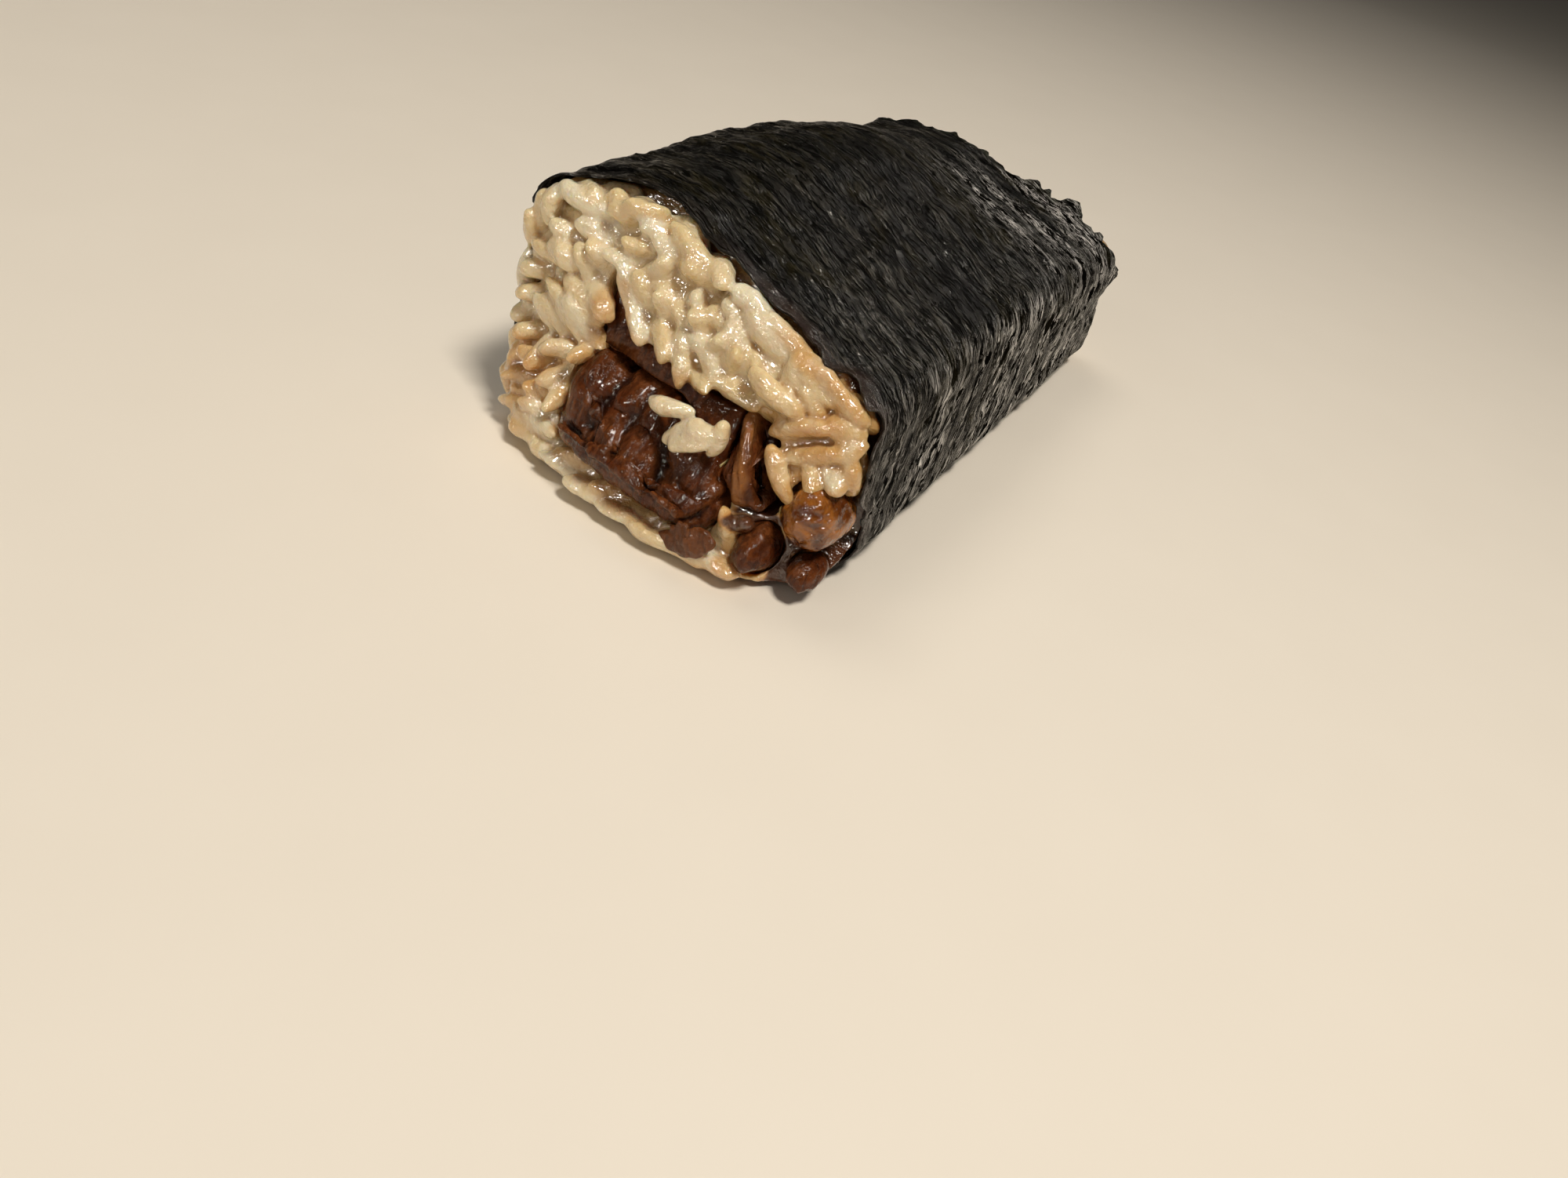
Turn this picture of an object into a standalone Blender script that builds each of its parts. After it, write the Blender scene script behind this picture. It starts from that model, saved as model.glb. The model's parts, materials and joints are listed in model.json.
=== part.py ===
# A musubi: a block of sticky rice with glazed beef slices through its middle,
# wrapped in half a sheet of nori, and resting on the wrap's overlapping seam.
#
# Metres, +Z up. X runs across the block and Y along it, with the end that
# bulges at -Y. The origin is under the middle of the wrap, at the level it rests on.

import math
import random

import bmesh
import bpy
from mathutils import Matrix, Vector, noise
from mathutils.bvhtree import BVHTree

MM = 0.001

# The wrap
WRAP_LENGTH = 0.090
HALF_LENGTH = WRAP_LENGTH / 2
SHEET = 0.0005
SEAM_X = 0.012
SEAM_UNDER_X = -0.014
SEAM_STEP = 0.0004
WRAP_COLUMNS = 46
WRAP_ROWS = 11
WAVE_HEIGHT = 0.0005
WAVE_LENGTH = 0.009
TORN_STEPS = 60
NEAR_TEAR = 0.0007
FAR_TEAR = 0.0009
FAR_SET_BACK = 0.001
SINK_START = -0.006
LEFT_SINK = 0.185
RIGHT_SINK = 0.125

# The section that the wrap follows, from its free edge leftwards and round:
# each corner's x and z, and the radius that rounds it
WRAP_CORNERS = [
    (SEAM_X, 0.0, 0.0),
    (-0.0248, 0.0, 0.0050),
    (-0.0252, 0.0300, 0.0060),
    (-0.0093, 0.0348, 0.0200),
    (0.0243, 0.0236, 0.0055),
    (0.0252, SEAM_STEP, 0.0050),
    (SEAM_X, SEAM_STEP, 0.0),
]

# Flakes that stand out from the wrap's far edge: how far round the section
# they sit (0 to 1 from the seam), their width as a share of it, their length
FAR_FLAKES = [
    (0.44, 0.020, 0.0026),
    (0.485, 0.055, 0.0034),
    (0.60, 0.025, 0.0015),
    (0.655, 0.028, 0.0034),
    (0.70, 0.030, 0.0030),
    (0.80, 0.028, 0.0022),
    (0.30, 0.040, 0.0030),
]
# Where the near edge is torn back, in the same measures, and how much of the rice's
# bulge the edge follows on the right
NEAR_SET_BACK = (0.425, 0.075, 0.0030)
NEAR_FOLLOWS = 0.9

# Rice
GAP = 0.0003
GRAIN_LENGTH = 0.0086
GRAIN_WIDTH = 0.0030
GRAIN_THICKNESS = 0.0026
GRAIN_SIDES = 5
FRONT_SPACING = 0.0028
BACK_SPACING = 0.0031
RIM_INSET = 0.0019
RIM_SPACING = 0.0056
CLEAR_OF_SLICES = 0.0009
CLEAR_OF_LUMPS = 0.0006
BLOCK_HEIGHT = 0.0335
BLOCK_CENTRE = Vector((0.0, 0.0150))
FRONT_REACH = (0.0010, 0.0120)
BACK_REACH = (0.0016, 0.0030)

# The grains that show best at the front, as they lie: x and z of their middle and
# their length in millimetres, their turn in the face, and how far their far tip
# leans into the block, both in degrees
SHOWN_GRAINS = [
    (-17.1, 30.2, 8.2, -6, 0),
    (-21.2, 28.2, 5.5, 80, 10),
    (-18.0, 26.3, 5.5, -10, 25),
    (-14.3, 27.7, 6.0, -9, 20),
    (-10.2, 26.6, 5.5, 0, 35),
    (-11.6, 30.9, 5.0, -20, 30),
    (-7.4, 31.0, 4.5, 8, 45),
    (-8.4, 28.8, 6.0, 0, 30),
    (-4.4, 29.6, 6.0, -12, 20),
    (-0.6, 28.6, 5.5, -22, 25),
    (-19.2, 23.1, 7.0, -5, 8),
    (-21.3, 20.4, 5.0, 10, 25),
    (-21.6, 17.2, 5.0, 15, 25),
    (-15.6, 18.1, 9.0, -37, -5),
    (-13.7, 20.2, 7.5, -28, -5),
    (-11.6, 21.2, 6.0, -27, -20),
    (-14.5, 23.8, 6.0, -57, 10),
    (-18.3, 16.4, 6.5, -35, 5),
    (-8.3, 23.9, 6.5, -56, -10),
    (-6.1, 21.2, 6.0, -49, -25),
    (-2.3, 20.8, 6.0, -41, -35),
    (0.7, 20.1, 7.0, -64, -20),
    (3.4, 21.6, 6.0, -30, -10),
    (7.6, 19.8, 8.6, -11, 0),
    (6.7, 24.1, 7.0, -53, 0),
    (9.3, 26.2, 8.2, -26, 0),
    (10.5, 21.9, 7.0, -47, -5),
    (13.8, 22.6, 8.4, -85, 0),
    (16.4, 24.2, 7.0, -36, 5),
    (17.0, 21.6, 6.0, -50, 15),
    (16.4, 18.9, 8.6, 29, 0),
    (18.9, 17.0, 8.0, 29, 0),
    (21.0, 20.9, 5.0, -3, 20),
    (22.1, 18.9, 5.0, 41, 10),
    (16.2, 13.8, 7.5, -50, -5),
    (19.5, 14.9, 5.5, -50, -30),
    (21.8, 15.8, 5.0, -33, -30),
    (6.6, 28.4, 6.5, -20, 5),
    (11.4, 26.9, 7.5, -20, 0),
    (16.4, 25.1, 7.0, -20, 0),
    (20.4, 23.4, 6.0, -32, 5),
    (-21.6, 9.4, 5.5, 70, 20),
    (-20.2, 13.1, 5.5, 13, 35),
    (-18.0, 11.2, 6.0, 7, 20),
    (-15.0, 13.6, 5.5, 8, 30),
    (-19.8, 7.7, 6.5, 17, 15),
    (-16.2, 8.4, 5.5, 5, 40),
    (-19.7, 4.4, 7.1, 22, 5),
    (-15.4, 5.9, 6.0, -12, 20),
    (-15.9, 2.9, 6.8, 8, 5),
    (-9.8, 2.7, 6.0, -8, 12),
    (-4.6, 2.4, 6.5, -5, 5),
    (0.6, 2.3, 6.5, 4, 5),
    (5.6, 2.2, 6.5, -4, 5),
    (10.4, 2.1, 5.5, 3, 5),
    (14.2, 2.1, 5.5, -12, 10),
]
SHOWN_LIFT = 0.0005

# Beef, each by its section's corners with their radii. The pieces lie so close
# together that no rice is left between them.
ROLL = [
    (-0.0126, 0.0047, 0.0030),
    (0.0108, 0.0037, 0.0032),
    (0.0126, 0.0092, 0.0020),
    (0.0020, 0.0158, 0.0040),
    (-0.0122, 0.0161, 0.0040),
]
UPPER_SLICE = [
    (-0.0106, 0.0165, 0.0006),
    (0.0020, 0.0162, 0.0020),
    (0.0096, 0.0115, 0.0004),
    (0.0098, 0.0176, 0.0010),
    (0.0000, 0.0184, 0.0030),
    (-0.0068, 0.0198, 0.0020),
    (-0.0086, 0.0246, 0.0007),
    (-0.0110, 0.0244, 0.0007),
]
SIDE_SLICE = [
    (0.0101, 0.0112, 0.0004),
    (0.0129, 0.0090, 0.0008),
    (0.0170, 0.0084, 0.0012),
    (0.0174, 0.0112, 0.0015),
    (0.0136, 0.0184, 0.0010),
    (0.0103, 0.0180, 0.0009),
]

# The beef that runs from end to end: its section, how many points draw it and its
# end edges' radius, then how far it stands out of the rice at the front and back,
# less than nothing where it ends inside
THROUGH_BEEF = {
    "beef_roll": ((ROLL, 22, 0.0045), (0.0022, 0.0012)),
    "beef_upper_slice": ((UPPER_SLICE, 26, 0.0005), (-0.0020, 0.0)),
    "beef_side_slice": ((SIDE_SLICE, 18, 0.0010), (0.0, 0.0006)),
}
RIPPLE = 0.0005
RIPPLE_LENGTH = 0.006
CUT_PAST = 0.006
SECTION_POINTS = 24

# Beef lumps beside the roll at the front: centre, half sizes
DENT = 0.14
LUMPS = {
    "beef_glazed_lump": ((0.0213, -0.0489, 0.0103), (0.0034, 0.0044, 0.0041)),
    "beef_dark_lump": ((0.0168, -0.0523, 0.0046), (0.0023, 0.0046, 0.0030)),
    "beef_small_bit": ((0.0226, -0.0510, 0.0033), (0.0017, 0.0026, 0.0018)),
}

# The few grains stuck together on the roll: each one's x, step forward and z,
# then its turn in degrees and its length
CLUMP = [
    (0.0050, 0.0000, 0.0166, 14, 0.0068),
    (0.0058, 0.0006, 0.0144, 50, 0.0078),
    (0.0076, 0.0010, 0.0150, 64, 0.0074),
    (0.0096, 0.0002, 0.0154, 76, 0.0058),
    (0.0082, 0.0006, 0.0168, -12, 0.0066),
]
CLUMP_STEP = 0.0002

COLOURS = {
    "nori": ((0.012, 0.013, 0.010), 0.45),
    "rice": ((0.70, 0.58, 0.40), 0.35),
    "beef": ((0.085, 0.030, 0.018), 0.28),
    "glaze": ((0.21, 0.065, 0.016), 0.20),
}


def clear_scene():
    for obj in list(bpy.data.objects):
        bpy.data.objects.remove(obj, do_unlink=True)


def material(name):
    found = bpy.data.materials.get(name)
    if found:
        return found
    made = bpy.data.materials.new(name)
    made.use_nodes = True
    shader = made.node_tree.nodes["Principled BSDF"]
    colour, roughness = COLOURS[name]
    shader.inputs["Base Color"].default_value = (*colour, 1.0)
    shader.inputs["Roughness"].default_value = roughness
    shader.inputs["Metallic"].default_value = 0.0
    return made


def add_object(name, verts, faces, finish):
    """An object from points and faces, with every face turned outwards."""
    mesh = bpy.data.meshes.new(name)
    mesh.from_pydata([tuple(v) for v in verts], [], faces)
    shape = bmesh.new()
    shape.from_mesh(mesh)
    bmesh.ops.recalc_face_normals(shape, faces=shape.faces)
    shape.to_mesh(mesh)
    shape.free()
    mesh.shade_smooth()
    mesh.materials.append(material(finish))
    obj = bpy.data.objects.new(name, mesh)
    bpy.context.scene.collection.objects.link(obj)
    return obj


def smooth_step(t):
    t = min(max(t, 0.0), 1.0)
    return t * t * (3 - 2 * t)


def rounded_path(corners, count, closed):
    """Evenly spaced points along a polygon with each corner rounded to its radius."""
    dense = []
    total = len(corners)
    for i, (x, z, radius) in enumerate(corners):
        corner = Vector((x, z))
        if radius == 0.0:
            dense.append(corner)
            continue
        before = (Vector(corners[i - 1][:2]) - corner).normalized()
        after = (Vector(corners[(i + 1) % total][:2]) - corner).normalized()
        half = before.angle(after) / 2
        centre = corner + (before + after).normalized() * radius / math.sin(half)
        start = corner + before * radius / math.tan(half) - centre
        end = corner + after * radius / math.tan(half) - centre
        for step in range(9):
            arm = start.lerp(end, step / 8).normalized() * radius
            dense.append(centre + arm)
    if closed:
        dense.append(dense[0])
    travelled = [0.0]
    for a, b in zip(dense, dense[1:]):
        travelled.append(travelled[-1] + (b - a).length)
    spans = count if closed else count - 1
    points, at = [], 0
    for k in range(count):
        goal = travelled[-1] * k / spans
        while at < len(dense) - 2 and travelled[at + 1] < goal:
            at += 1
        share = (goal - travelled[at]) / max(travelled[at + 1] - travelled[at], 1e-9)
        points.append(dense[at].lerp(dense[at + 1], min(share, 1.0)))
    return points


def outward(path, closed):
    """The outward direction at each point of a path that runs clockwise seen from -Y."""
    found = []
    last = len(path) - 1
    for i in range(len(path)):
        if closed:
            along = path[(i + 1) % len(path)] - path[i - 1]
        else:
            along = path[min(i + 1, last)] - path[max(i - 1, 0)]
        along.normalize()
        found.append(Vector((-along.y, along.x)))
    return found


def offset_path(path, normals, distance):
    return [p + n * distance for p, n in zip(path, normals)]


def inside(point, outline):
    hit = False
    for a, b in zip(outline, outline[1:] + outline[:1]):
        if (a.y > point.y) != (b.y > point.y):
            if point.x < (b.x - a.x) * (point.y - a.y) / (b.y - a.y) + a.x:
                hit = not hit
    return hit


def crown(x, y):
    """How much of its full height the section keeps as it sinks towards the far end."""
    sink = LEFT_SINK + (RIGHT_SINK - LEFT_SINK) * smooth_step((x + 0.004) / 0.024)
    return 1 - sink * smooth_step((y - SINK_START) / (HALF_LENGTH - SINK_START))


def across(x):
    """How far out to the side a point is: -1 and 1 near the block's two walls."""
    return (x - 0.004) / 0.024


def front_reach(x, z):
    """How far the rice stands out of the wrap at the front: most at the bottom."""
    depth = min(max(1 - z / BLOCK_HEIGHT, 0.0), 1.0) ** 1.2
    return FRONT_REACH[0] + FRONT_REACH[1] * depth * (1 - 0.62 * across(x) ** 2)


def back_reach(x, z):
    """How far the rice stands out at the back: a shallow even bulge."""
    high = (z - 0.013) / 0.018
    bulge = max(0.0, 1 - 0.7 * across(x) ** 2 - 0.6 * high * high)
    return BACK_REACH[0] + BACK_REACH[1] * bulge


def face_y(x, z, front):
    if front:
        return -HALF_LENGTH - front_reach(x, z)
    return HALF_LENGTH + back_reach(x, z)


def bump(u, centre, width, height):
    return height * max(0.0, 1 - abs(u - centre) / (width / 2)) ** 0.6


def wrap_edges(u, point):
    """Where the sheet starts and ends along Y at a share u of the way round it."""
    centre, width, depth = NEAR_SET_BACK
    near = -HALF_LENGTH + NEAR_TEAR * noise.noise(Vector((u * TORN_STEPS, 0.3, 0.0)))
    near += depth * smooth_step(1 - abs(u - centre) / width)
    follows = smooth_step((point.x + 0.014) / 0.016) * smooth_step((point.y - 0.008) / 0.008)
    near -= NEAR_FOLLOWS * follows * front_reach(point.x, point.y)
    far = HALF_LENGTH + FAR_TEAR * noise.noise(Vector((u * TORN_STEPS, 7.7, 0.0)))
    far += sum(bump(u, *flake) for flake in FAR_FLAKES) - FAR_SET_BACK
    return near, far


def wave(point, y):
    """Lift of the sheet over the grains under it, none where it rests or is in the seam."""
    at = Vector((point.x, y, point.y)) / WAVE_LENGTH
    lift = 0.5 + 0.5 * noise.noise(at)
    return WAVE_HEIGHT * lift * smooth_step((point.y - 0.001) / 0.004)


def wrap_paths():
    """The sheet's outer outline, its outward directions and its thickness at each point."""
    outer = rounded_path(WRAP_CORNERS, WRAP_COLUMNS + 1, closed=False)
    normals = outward(outer, closed=False)
    thick = []
    for i, p in enumerate(outer):
        under = i < WRAP_COLUMNS / 4 and p.x > SEAM_UNDER_X and p.y < 0.001
        thick.append(SHEET + (SEAM_STEP if under else 0.0))
    return outer, normals, thick


def place(point, y):
    return Vector((point.x, y, point.y * crown(point.x, y)))


def build_nori():
    """One sheet wound round the block, thicker where it overlaps itself underneath."""
    outer, normals, thick = wrap_paths()
    columns, rows = WRAP_COLUMNS, WRAP_ROWS
    verts, faces = [], []
    outer_at, inner_at = {}, {}
    for row in range(rows + 1):
        for i in range(columns + 1):
            near, far = wrap_edges(i / columns, outer[i])
            y = near + (far - near) * row / rows
            lift = wave(outer[i], y)
            outer_at[i, row] = len(verts)
            verts.append(place(outer[i] + normals[i] * lift, y))
            if i == columns:
                inner_at[i, row] = inner_at[0, row]
                continue
            inner_at[i, row] = len(verts)
            verts.append(place(outer[i] + normals[i] * (lift - thick[i]), y))
    for row in range(rows):
        for i in range(columns):
            for at in (outer_at, inner_at):
                a, b = at[i, row], at[i + 1, row]
                c, d = at[i + 1, row + 1], at[i, row + 1]
                faces += [(a, b, c), (a, c, d)]
        a, b = outer_at[columns, row], outer_at[0, row]
        c, d = outer_at[0, row + 1], outer_at[columns, row + 1]
        faces += [(a, b, c), (a, c, d)]
    for row in (0, rows):
        for i in range(columns):
            a, b = outer_at[i, row], outer_at[i + 1, row]
            c, d = inner_at[i + 1, row], inner_at[i, row]
            faces += [(a, b, c), (a, c, d)]
        faces.append((outer_at[columns, row], outer_at[0, row], inner_at[0, row]))
    return add_object("nori", verts, faces, "nori")


def loft(name, rings, finish):
    """A closed body through rings of equal counts, its two end rings filled."""
    count = len(rings[0])
    verts = [p for ring in rings for p in ring]
    faces = [tuple(range(count)), tuple(range(len(verts) - count, len(verts)))]
    for r in range(len(rings) - 1):
        for i in range(count):
            j = (i + 1) % count
            a, b = r * count + i, r * count + j
            faces.append((a, b, b + count, a + count))
    return add_object(name, verts, faces, finish)


def rice_outline():
    """The outline of the rice inside the wrap, at full height."""
    outer, normals, thick = wrap_paths()
    return [outer[i] - normals[i] * (thick[i] + GAP) for i in range(1, WRAP_COLUMNS)]


def end_outline(front):
    """The outline of the rice at one end of the wrap."""
    y = -HALF_LENGTH if front else HALF_LENGTH
    placed = [place(p, y) for p in rice_outline()]
    return [Vector((p.x, p.z)) for p in placed]


def shrunk(outline, share):
    return [BLOCK_CENTRE + (p - BLOCK_CENTRE) * share for p in outline]


def build_rice_core():
    """The rice block: the wrap's inner outline, with its two bulging end faces."""
    outline = rice_outline()[::2]
    rings = []
    for share in (0.30, 0.68, 0.93):
        ring = [Vector((p.x, 0, p.y)) for p in shrunk(outline, share)]
        for v in ring:
            v.y = face_y(v.x, v.z, True)
        rings.append(ring)
    half_way = [Vector((p.x, 0, p.y)) for p in shrunk(outline, 0.99)]
    for v in half_way:
        v.y = -HALF_LENGTH - 0.55 * front_reach(v.x, v.z)
    rings.append(half_way)
    for share in (-1.0, -0.5, 0.0, 0.2, 0.4, 0.6, 0.8, 1.0):
        rings.append([place(p, share * HALF_LENGTH) for p in outline])
    for share in (0.94, 0.68, 0.30):
        ring = [place(p, HALF_LENGTH) for p in shrunk(outline, share)]
        for v in ring:
            v.y = face_y(v.x, v.z, False)
        rings.append(ring)
    return loft("rice", rings, "rice")


def beef_body(name, corners, columns, edge, ends, grow=0.0):
    """A slice that runs through the food, its end edges rounded; grow swells it evenly."""
    base = rounded_path(corners[::-1], columns, closed=True)
    normals = outward(base, closed=True)
    rings = []

    def ring_at(inset, y_of):
        ring = []
        for p, n in zip(base, normals):
            y = y_of(p)
            ripple = noise.noise(Vector((p.x, y * 0.7, p.y)) / RIPPLE_LENGTH) * RIPPLE
            dent = 0.0 if grow else max(ripple, 0.0)
            q = p + n * (grow - inset - dent)
            ring.append(Vector((q.x, y, q.y)))
        return ring

    turns = [math.radians(angle) for angle in (20, 45, 70, 90)]
    for a in turns:
        back = edge * (1 - math.cos(a)) - ends[0]
        rings.append(
            ring_at(edge * (1 - math.sin(a)), lambda p: face_y(p.x, p.y, True) + back)
        )
    for share in (-0.85, -0.5, -0.17, 0.17, 0.5, 0.85):
        rings.append(ring_at(0.0, lambda p: share * HALF_LENGTH))
    for a in turns[::-1]:
        back = edge * (1 - math.cos(a)) - ends[1]
        rings.append(
            ring_at(edge * (1 - math.sin(a)), lambda p: face_y(p.x, p.y, False) - back)
        )
    return loft(name, rings, "beef")


def build_lump(name, centre, half, finish, grow=0.0):
    """A rough nugget of beef: a ball with its surface pushed in here and there."""
    shape = bmesh.new()
    bmesh.ops.create_icosphere(shape, subdivisions=2, radius=1.0)
    for v in shape.verts:
        dent = 1 - DENT * max(noise.noise(v.co * 1.6 + Vector(centre) * 900), 0.0)
        v.co = Vector(
            [c + (h + grow) * dent * n for c, h, n in zip(centre, half, v.co)]
        )
    verts = [v.co.copy() for v in shape.verts]
    faces = [tuple(v.index for v in f.verts) for f in shape.faces]
    shape.free()
    return add_object(name, verts, faces, finish)


def grain_frame(centre, turn, lean):
    """Where a grain lies: turn is in the end face's plane, lean tips it out of that."""
    return (
        Matrix.Translation(centre)
        @ Matrix.Rotation(-turn, 4, "Y")
        @ Matrix.Rotation(lean, 4, "Z")
    )


def grain_points(frame, length):
    """A spindle with a few sides, its long axis along the frame's X."""
    points = [frame @ Vector((-length / 2, 0, 0))]
    for at, swell in ((-0.36, 0.76), (0.0, 1.0), (0.36, 0.76)):
        for k in range(GRAIN_SIDES):
            a = math.tau * k / GRAIN_SIDES
            y = math.cos(a) * GRAIN_THICKNESS / 2 * swell
            z = math.sin(a) * GRAIN_WIDTH / 2 * swell
            points.append(frame @ Vector((at * length, y, z)))
    points.append(frame @ Vector((length / 2, 0, 0)))
    return points


def grain_faces():
    n = GRAIN_SIDES
    faces = []
    for k in range(n):
        j = (k + 1) % n
        faces.append((0, 1 + j, 1 + k))
        for ring in (0, 1):
            a, b = 1 + ring * n + k, 1 + ring * n + j
            faces += [(a, b, b + n), (a, b + n, a + n)]
        faces.append((1 + 2 * n + k, 1 + 2 * n + j, 1 + 3 * n))
    return faces


def shown_sites():
    """The grains that show best, each on the surface of the front face."""
    sites = []
    for x, z, length, turn, lean in SHOWN_GRAINS:
        y = face_y(x * MM, z * MM, True) - SHOWN_LIFT
        centre = Vector((x * MM, y, z * MM))
        sites.append((centre, math.radians(turn), math.radians(lean), length * MM))
    return sites


def rim_sites(front, seed):
    """Grains lying along the wrap's edge, round the top and the sides of an end face."""
    draw = random.Random(seed)
    outline = end_outline(front)
    rim = offset_path(outline, outward(outline, closed=False), -RIM_INSET)
    sites, travelled = [], 0.0
    for a, b in zip(rim, rim[1:]):
        travelled += (b - a).length
        if travelled < RIM_SPACING or a.y < RIM_INSET + 0.001:
            continue
        travelled = 0.0
        y = face_y(a.x, a.y, front) + draw.uniform(-0.0004, 0.0004)
        turn = math.atan2(b.y - a.y, b.x - a.x) + draw.gauss(0, 0.25)
        sites.append((Vector((a.x, y, a.y)), turn, draw.gauss(0, 0.1), GRAIN_LENGTH))
    return sites


def scattered_sites(front, holes, taken, spacing, seed, tries=2600):
    """Grains spread evenly over an end face, clear of the beef by half a grain."""
    draw = random.Random(seed)
    outline = shrunk(end_outline(front), 0.93)
    low = Vector((min(p.x for p in outline), min(p.y for p in outline)))
    high = Vector((max(p.x for p in outline), max(p.y for p in outline)))
    sites = list(taken)
    for _ in range(tries):
        p = Vector((draw.uniform(low.x, high.x), draw.uniform(low.y, high.y)))
        turn, lean = draw.uniform(0, math.pi), draw.gauss(0, 0.32)
        sunk = draw.uniform(-0.0006, 0.0007)
        if not inside(p, outline) or any(inside(p, hole) for hole in holes):
            continue
        y = face_y(p.x, p.y, front)
        centre = Vector((p.x, y + (sunk if front else -sunk), p.y))
        if all((centre - other[0]).length > spacing for other in sites):
            sites.append((centre, turn, lean, GRAIN_LENGTH))
    return sites


def section(corners, grow):
    base = rounded_path(corners[::-1], SECTION_POINTS, closed=True)
    return offset_path(base, outward(base, closed=True), grow)


def lump_section(centre, half, grow):
    return [
        Vector(
            (
                centre[0] + (half[0] + grow) * math.cos(a),
                centre[2] + (half[2] + grow) * math.sin(a),
            )
        )
        for a in (math.tau * k / 12 for k in range(12))
    ]


def tree_of(obj):
    points = [v.co.copy() for v in obj.data.vertices]
    obj.data.calc_loop_triangles()
    return BVHTree.FromPolygons(points, [tuple(t.vertices) for t in obj.data.loop_triangles])


def clear_of(points, faces, trees):
    """True if a grain neither crosses nor nearly touches any of the other bodies."""
    own = BVHTree.FromPolygons(points, faces)
    for tree in trees:
        if own.overlap(tree):
            return False
        for p in points:
            found = tree.find_nearest(p)
            outside = (p - found[0]).dot(found[1]) > 0
            if not outside or found[3] < GAP:
                return False
    return True


def within_wrap(points, outline):
    """True if both tips of a grain stay inside the wrap's outline, above the floor."""
    tips = (points[0], points[-1])
    low = min(p.z for p in points)
    return low > 0.0006 and all(inside(Vector((p.x, p.z)), outline) for p in tips)


def add_grains(sites, outline, trees, parts):
    """Grains as loose objects in a collection: one that would cross is shortened or left out."""
    faces = grain_faces()
    for centre, turn, lean, full in sites:
        for length in (full, 0.75 * full, 0.55 * full):
            points = grain_points(grain_frame(centre, turn, lean), length)
            if within_wrap(points, outline) and clear_of(points, faces, trees):
                obj = add_object("grain", points, faces, "rice")
                bpy.context.scene.collection.objects.unlink(obj)
                parts.objects.link(obj)
                break


def apply_boolean(obj, operation, others):
    """Cuts or joins a collection of bodies with obj, and removes them."""
    modifier = obj.modifiers.new(operation.lower(), "BOOLEAN")
    modifier.operation = operation
    modifier.solver = "MANIFOLD"
    modifier.operand_type = "COLLECTION"
    modifier.collection = others
    bpy.context.view_layer.update()
    graph = bpy.context.evaluated_depsgraph_get()
    made = bpy.data.meshes.new_from_object(obj.evaluated_get(graph))
    obj.modifiers.clear()
    obj.data = made
    for other in list(others.objects):
        bpy.data.objects.remove(other, do_unlink=True)
    bpy.data.collections.remove(others)


def keep_main_shell(obj):
    """Keeps the largest shell alone: no loose scraps and no sealed hollows."""
    shape = bmesh.new()
    shape.from_mesh(obj.data)
    bmesh.ops.triangulate(shape, faces=shape.faces)
    shape.faces.ensure_lookup_table()
    left, shells = set(shape.faces), []
    while left:
        todo = [left.pop()]
        shell = list(todo)
        while todo:
            for edge in todo.pop().edges:
                for face in edge.link_faces:
                    if face in left:
                        left.discard(face)
                        todo.append(face)
                        shell.append(face)
        shells.append(shell)

    def volume(shell):
        corners = [[v.co for v in face.verts] for face in shell]
        return sum(a.dot(b.cross(c)) for a, b, c in corners) / 6

    main = max(shells, key=volume)
    scraps = [face for shell in shells if shell is not main for face in shell]
    bmesh.ops.delete(shape, geom=scraps, context="FACES")
    shape.to_mesh(obj.data)
    shape.free()


def new_collection(name):
    made = bpy.data.collections.new(name)
    bpy.context.scene.collection.children.link(made)
    return made


def move_to(obj, collection):
    bpy.context.scene.collection.objects.unlink(obj)
    collection.objects.link(obj)


def build_clump(under):
    """A few grains stuck to each other, brought out together until they lie on the rest."""
    trees = [tree_of(obj) for obj in under]
    faces = grain_faces()
    y = -HALF_LENGTH
    touching = True
    while touching:
        y -= CLUMP_STEP
        pieces = []
        for x, forward, z, turn, length in CLUMP:
            frame = grain_frame((x, y - forward, z), math.radians(turn), 0.0)
            pieces.append(grain_points(frame, length))
        touching = not all(clear_of(points, faces, trees) for points in pieces)
    grains = [add_object("rice_clump", points, faces, "rice") for points in pieces]
    others = new_collection("clump_grains")
    for grain in grains[1:]:
        move_to(grain, others)
    apply_boolean(grains[0], "UNION", others)
    keep_main_shell(grains[0])
    return grains[0]


def add_rice_grains(core, nori, beef, clump):
    """The grains that show at both ends, fused onto the block and clear of the rest.

    Those at the front lie as they show there; the back has a rim of them first.
    """
    trees = [tree_of(obj) for obj in [nori, clump, *beef]]
    shapes = [shape for (shape, _, _), _ in THROUGH_BEEF.values()]
    slices = [section(corners, CLEAR_OF_SLICES) for corners in shapes]
    lumps = [lump_section(*size, CLEAR_OF_LUMPS) for size in LUMPS.values()]
    grains = new_collection("face_grains")
    front = scattered_sites(True, slices + lumps, shown_sites(), FRONT_SPACING, seed=5)
    add_grains(front, end_outline(True), trees, grains)
    back = rim_sites(False, seed=7)
    back = scattered_sites(False, slices, back, BACK_SPACING, seed=11)
    add_grains(back, end_outline(False), trees, grains)
    apply_boolean(core, "UNION", grains)
    keep_main_shell(core)
    core.data.shade_smooth()
    core.data.set_sharp_from_angle(angle=math.radians(40))


def build_beef():
    """Every piece of beef: two slices and a roll that run through, and three lumps."""
    made = [
        beef_body(name, *shape, ends) for name, (shape, ends) in THROUGH_BEEF.items()
    ]
    for name, (centre, half) in LUMPS.items():
        finish = "glaze" if name == "beef_glazed_lump" else "beef"
        made.append(build_lump(name, centre, half, finish))
    return made


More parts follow.
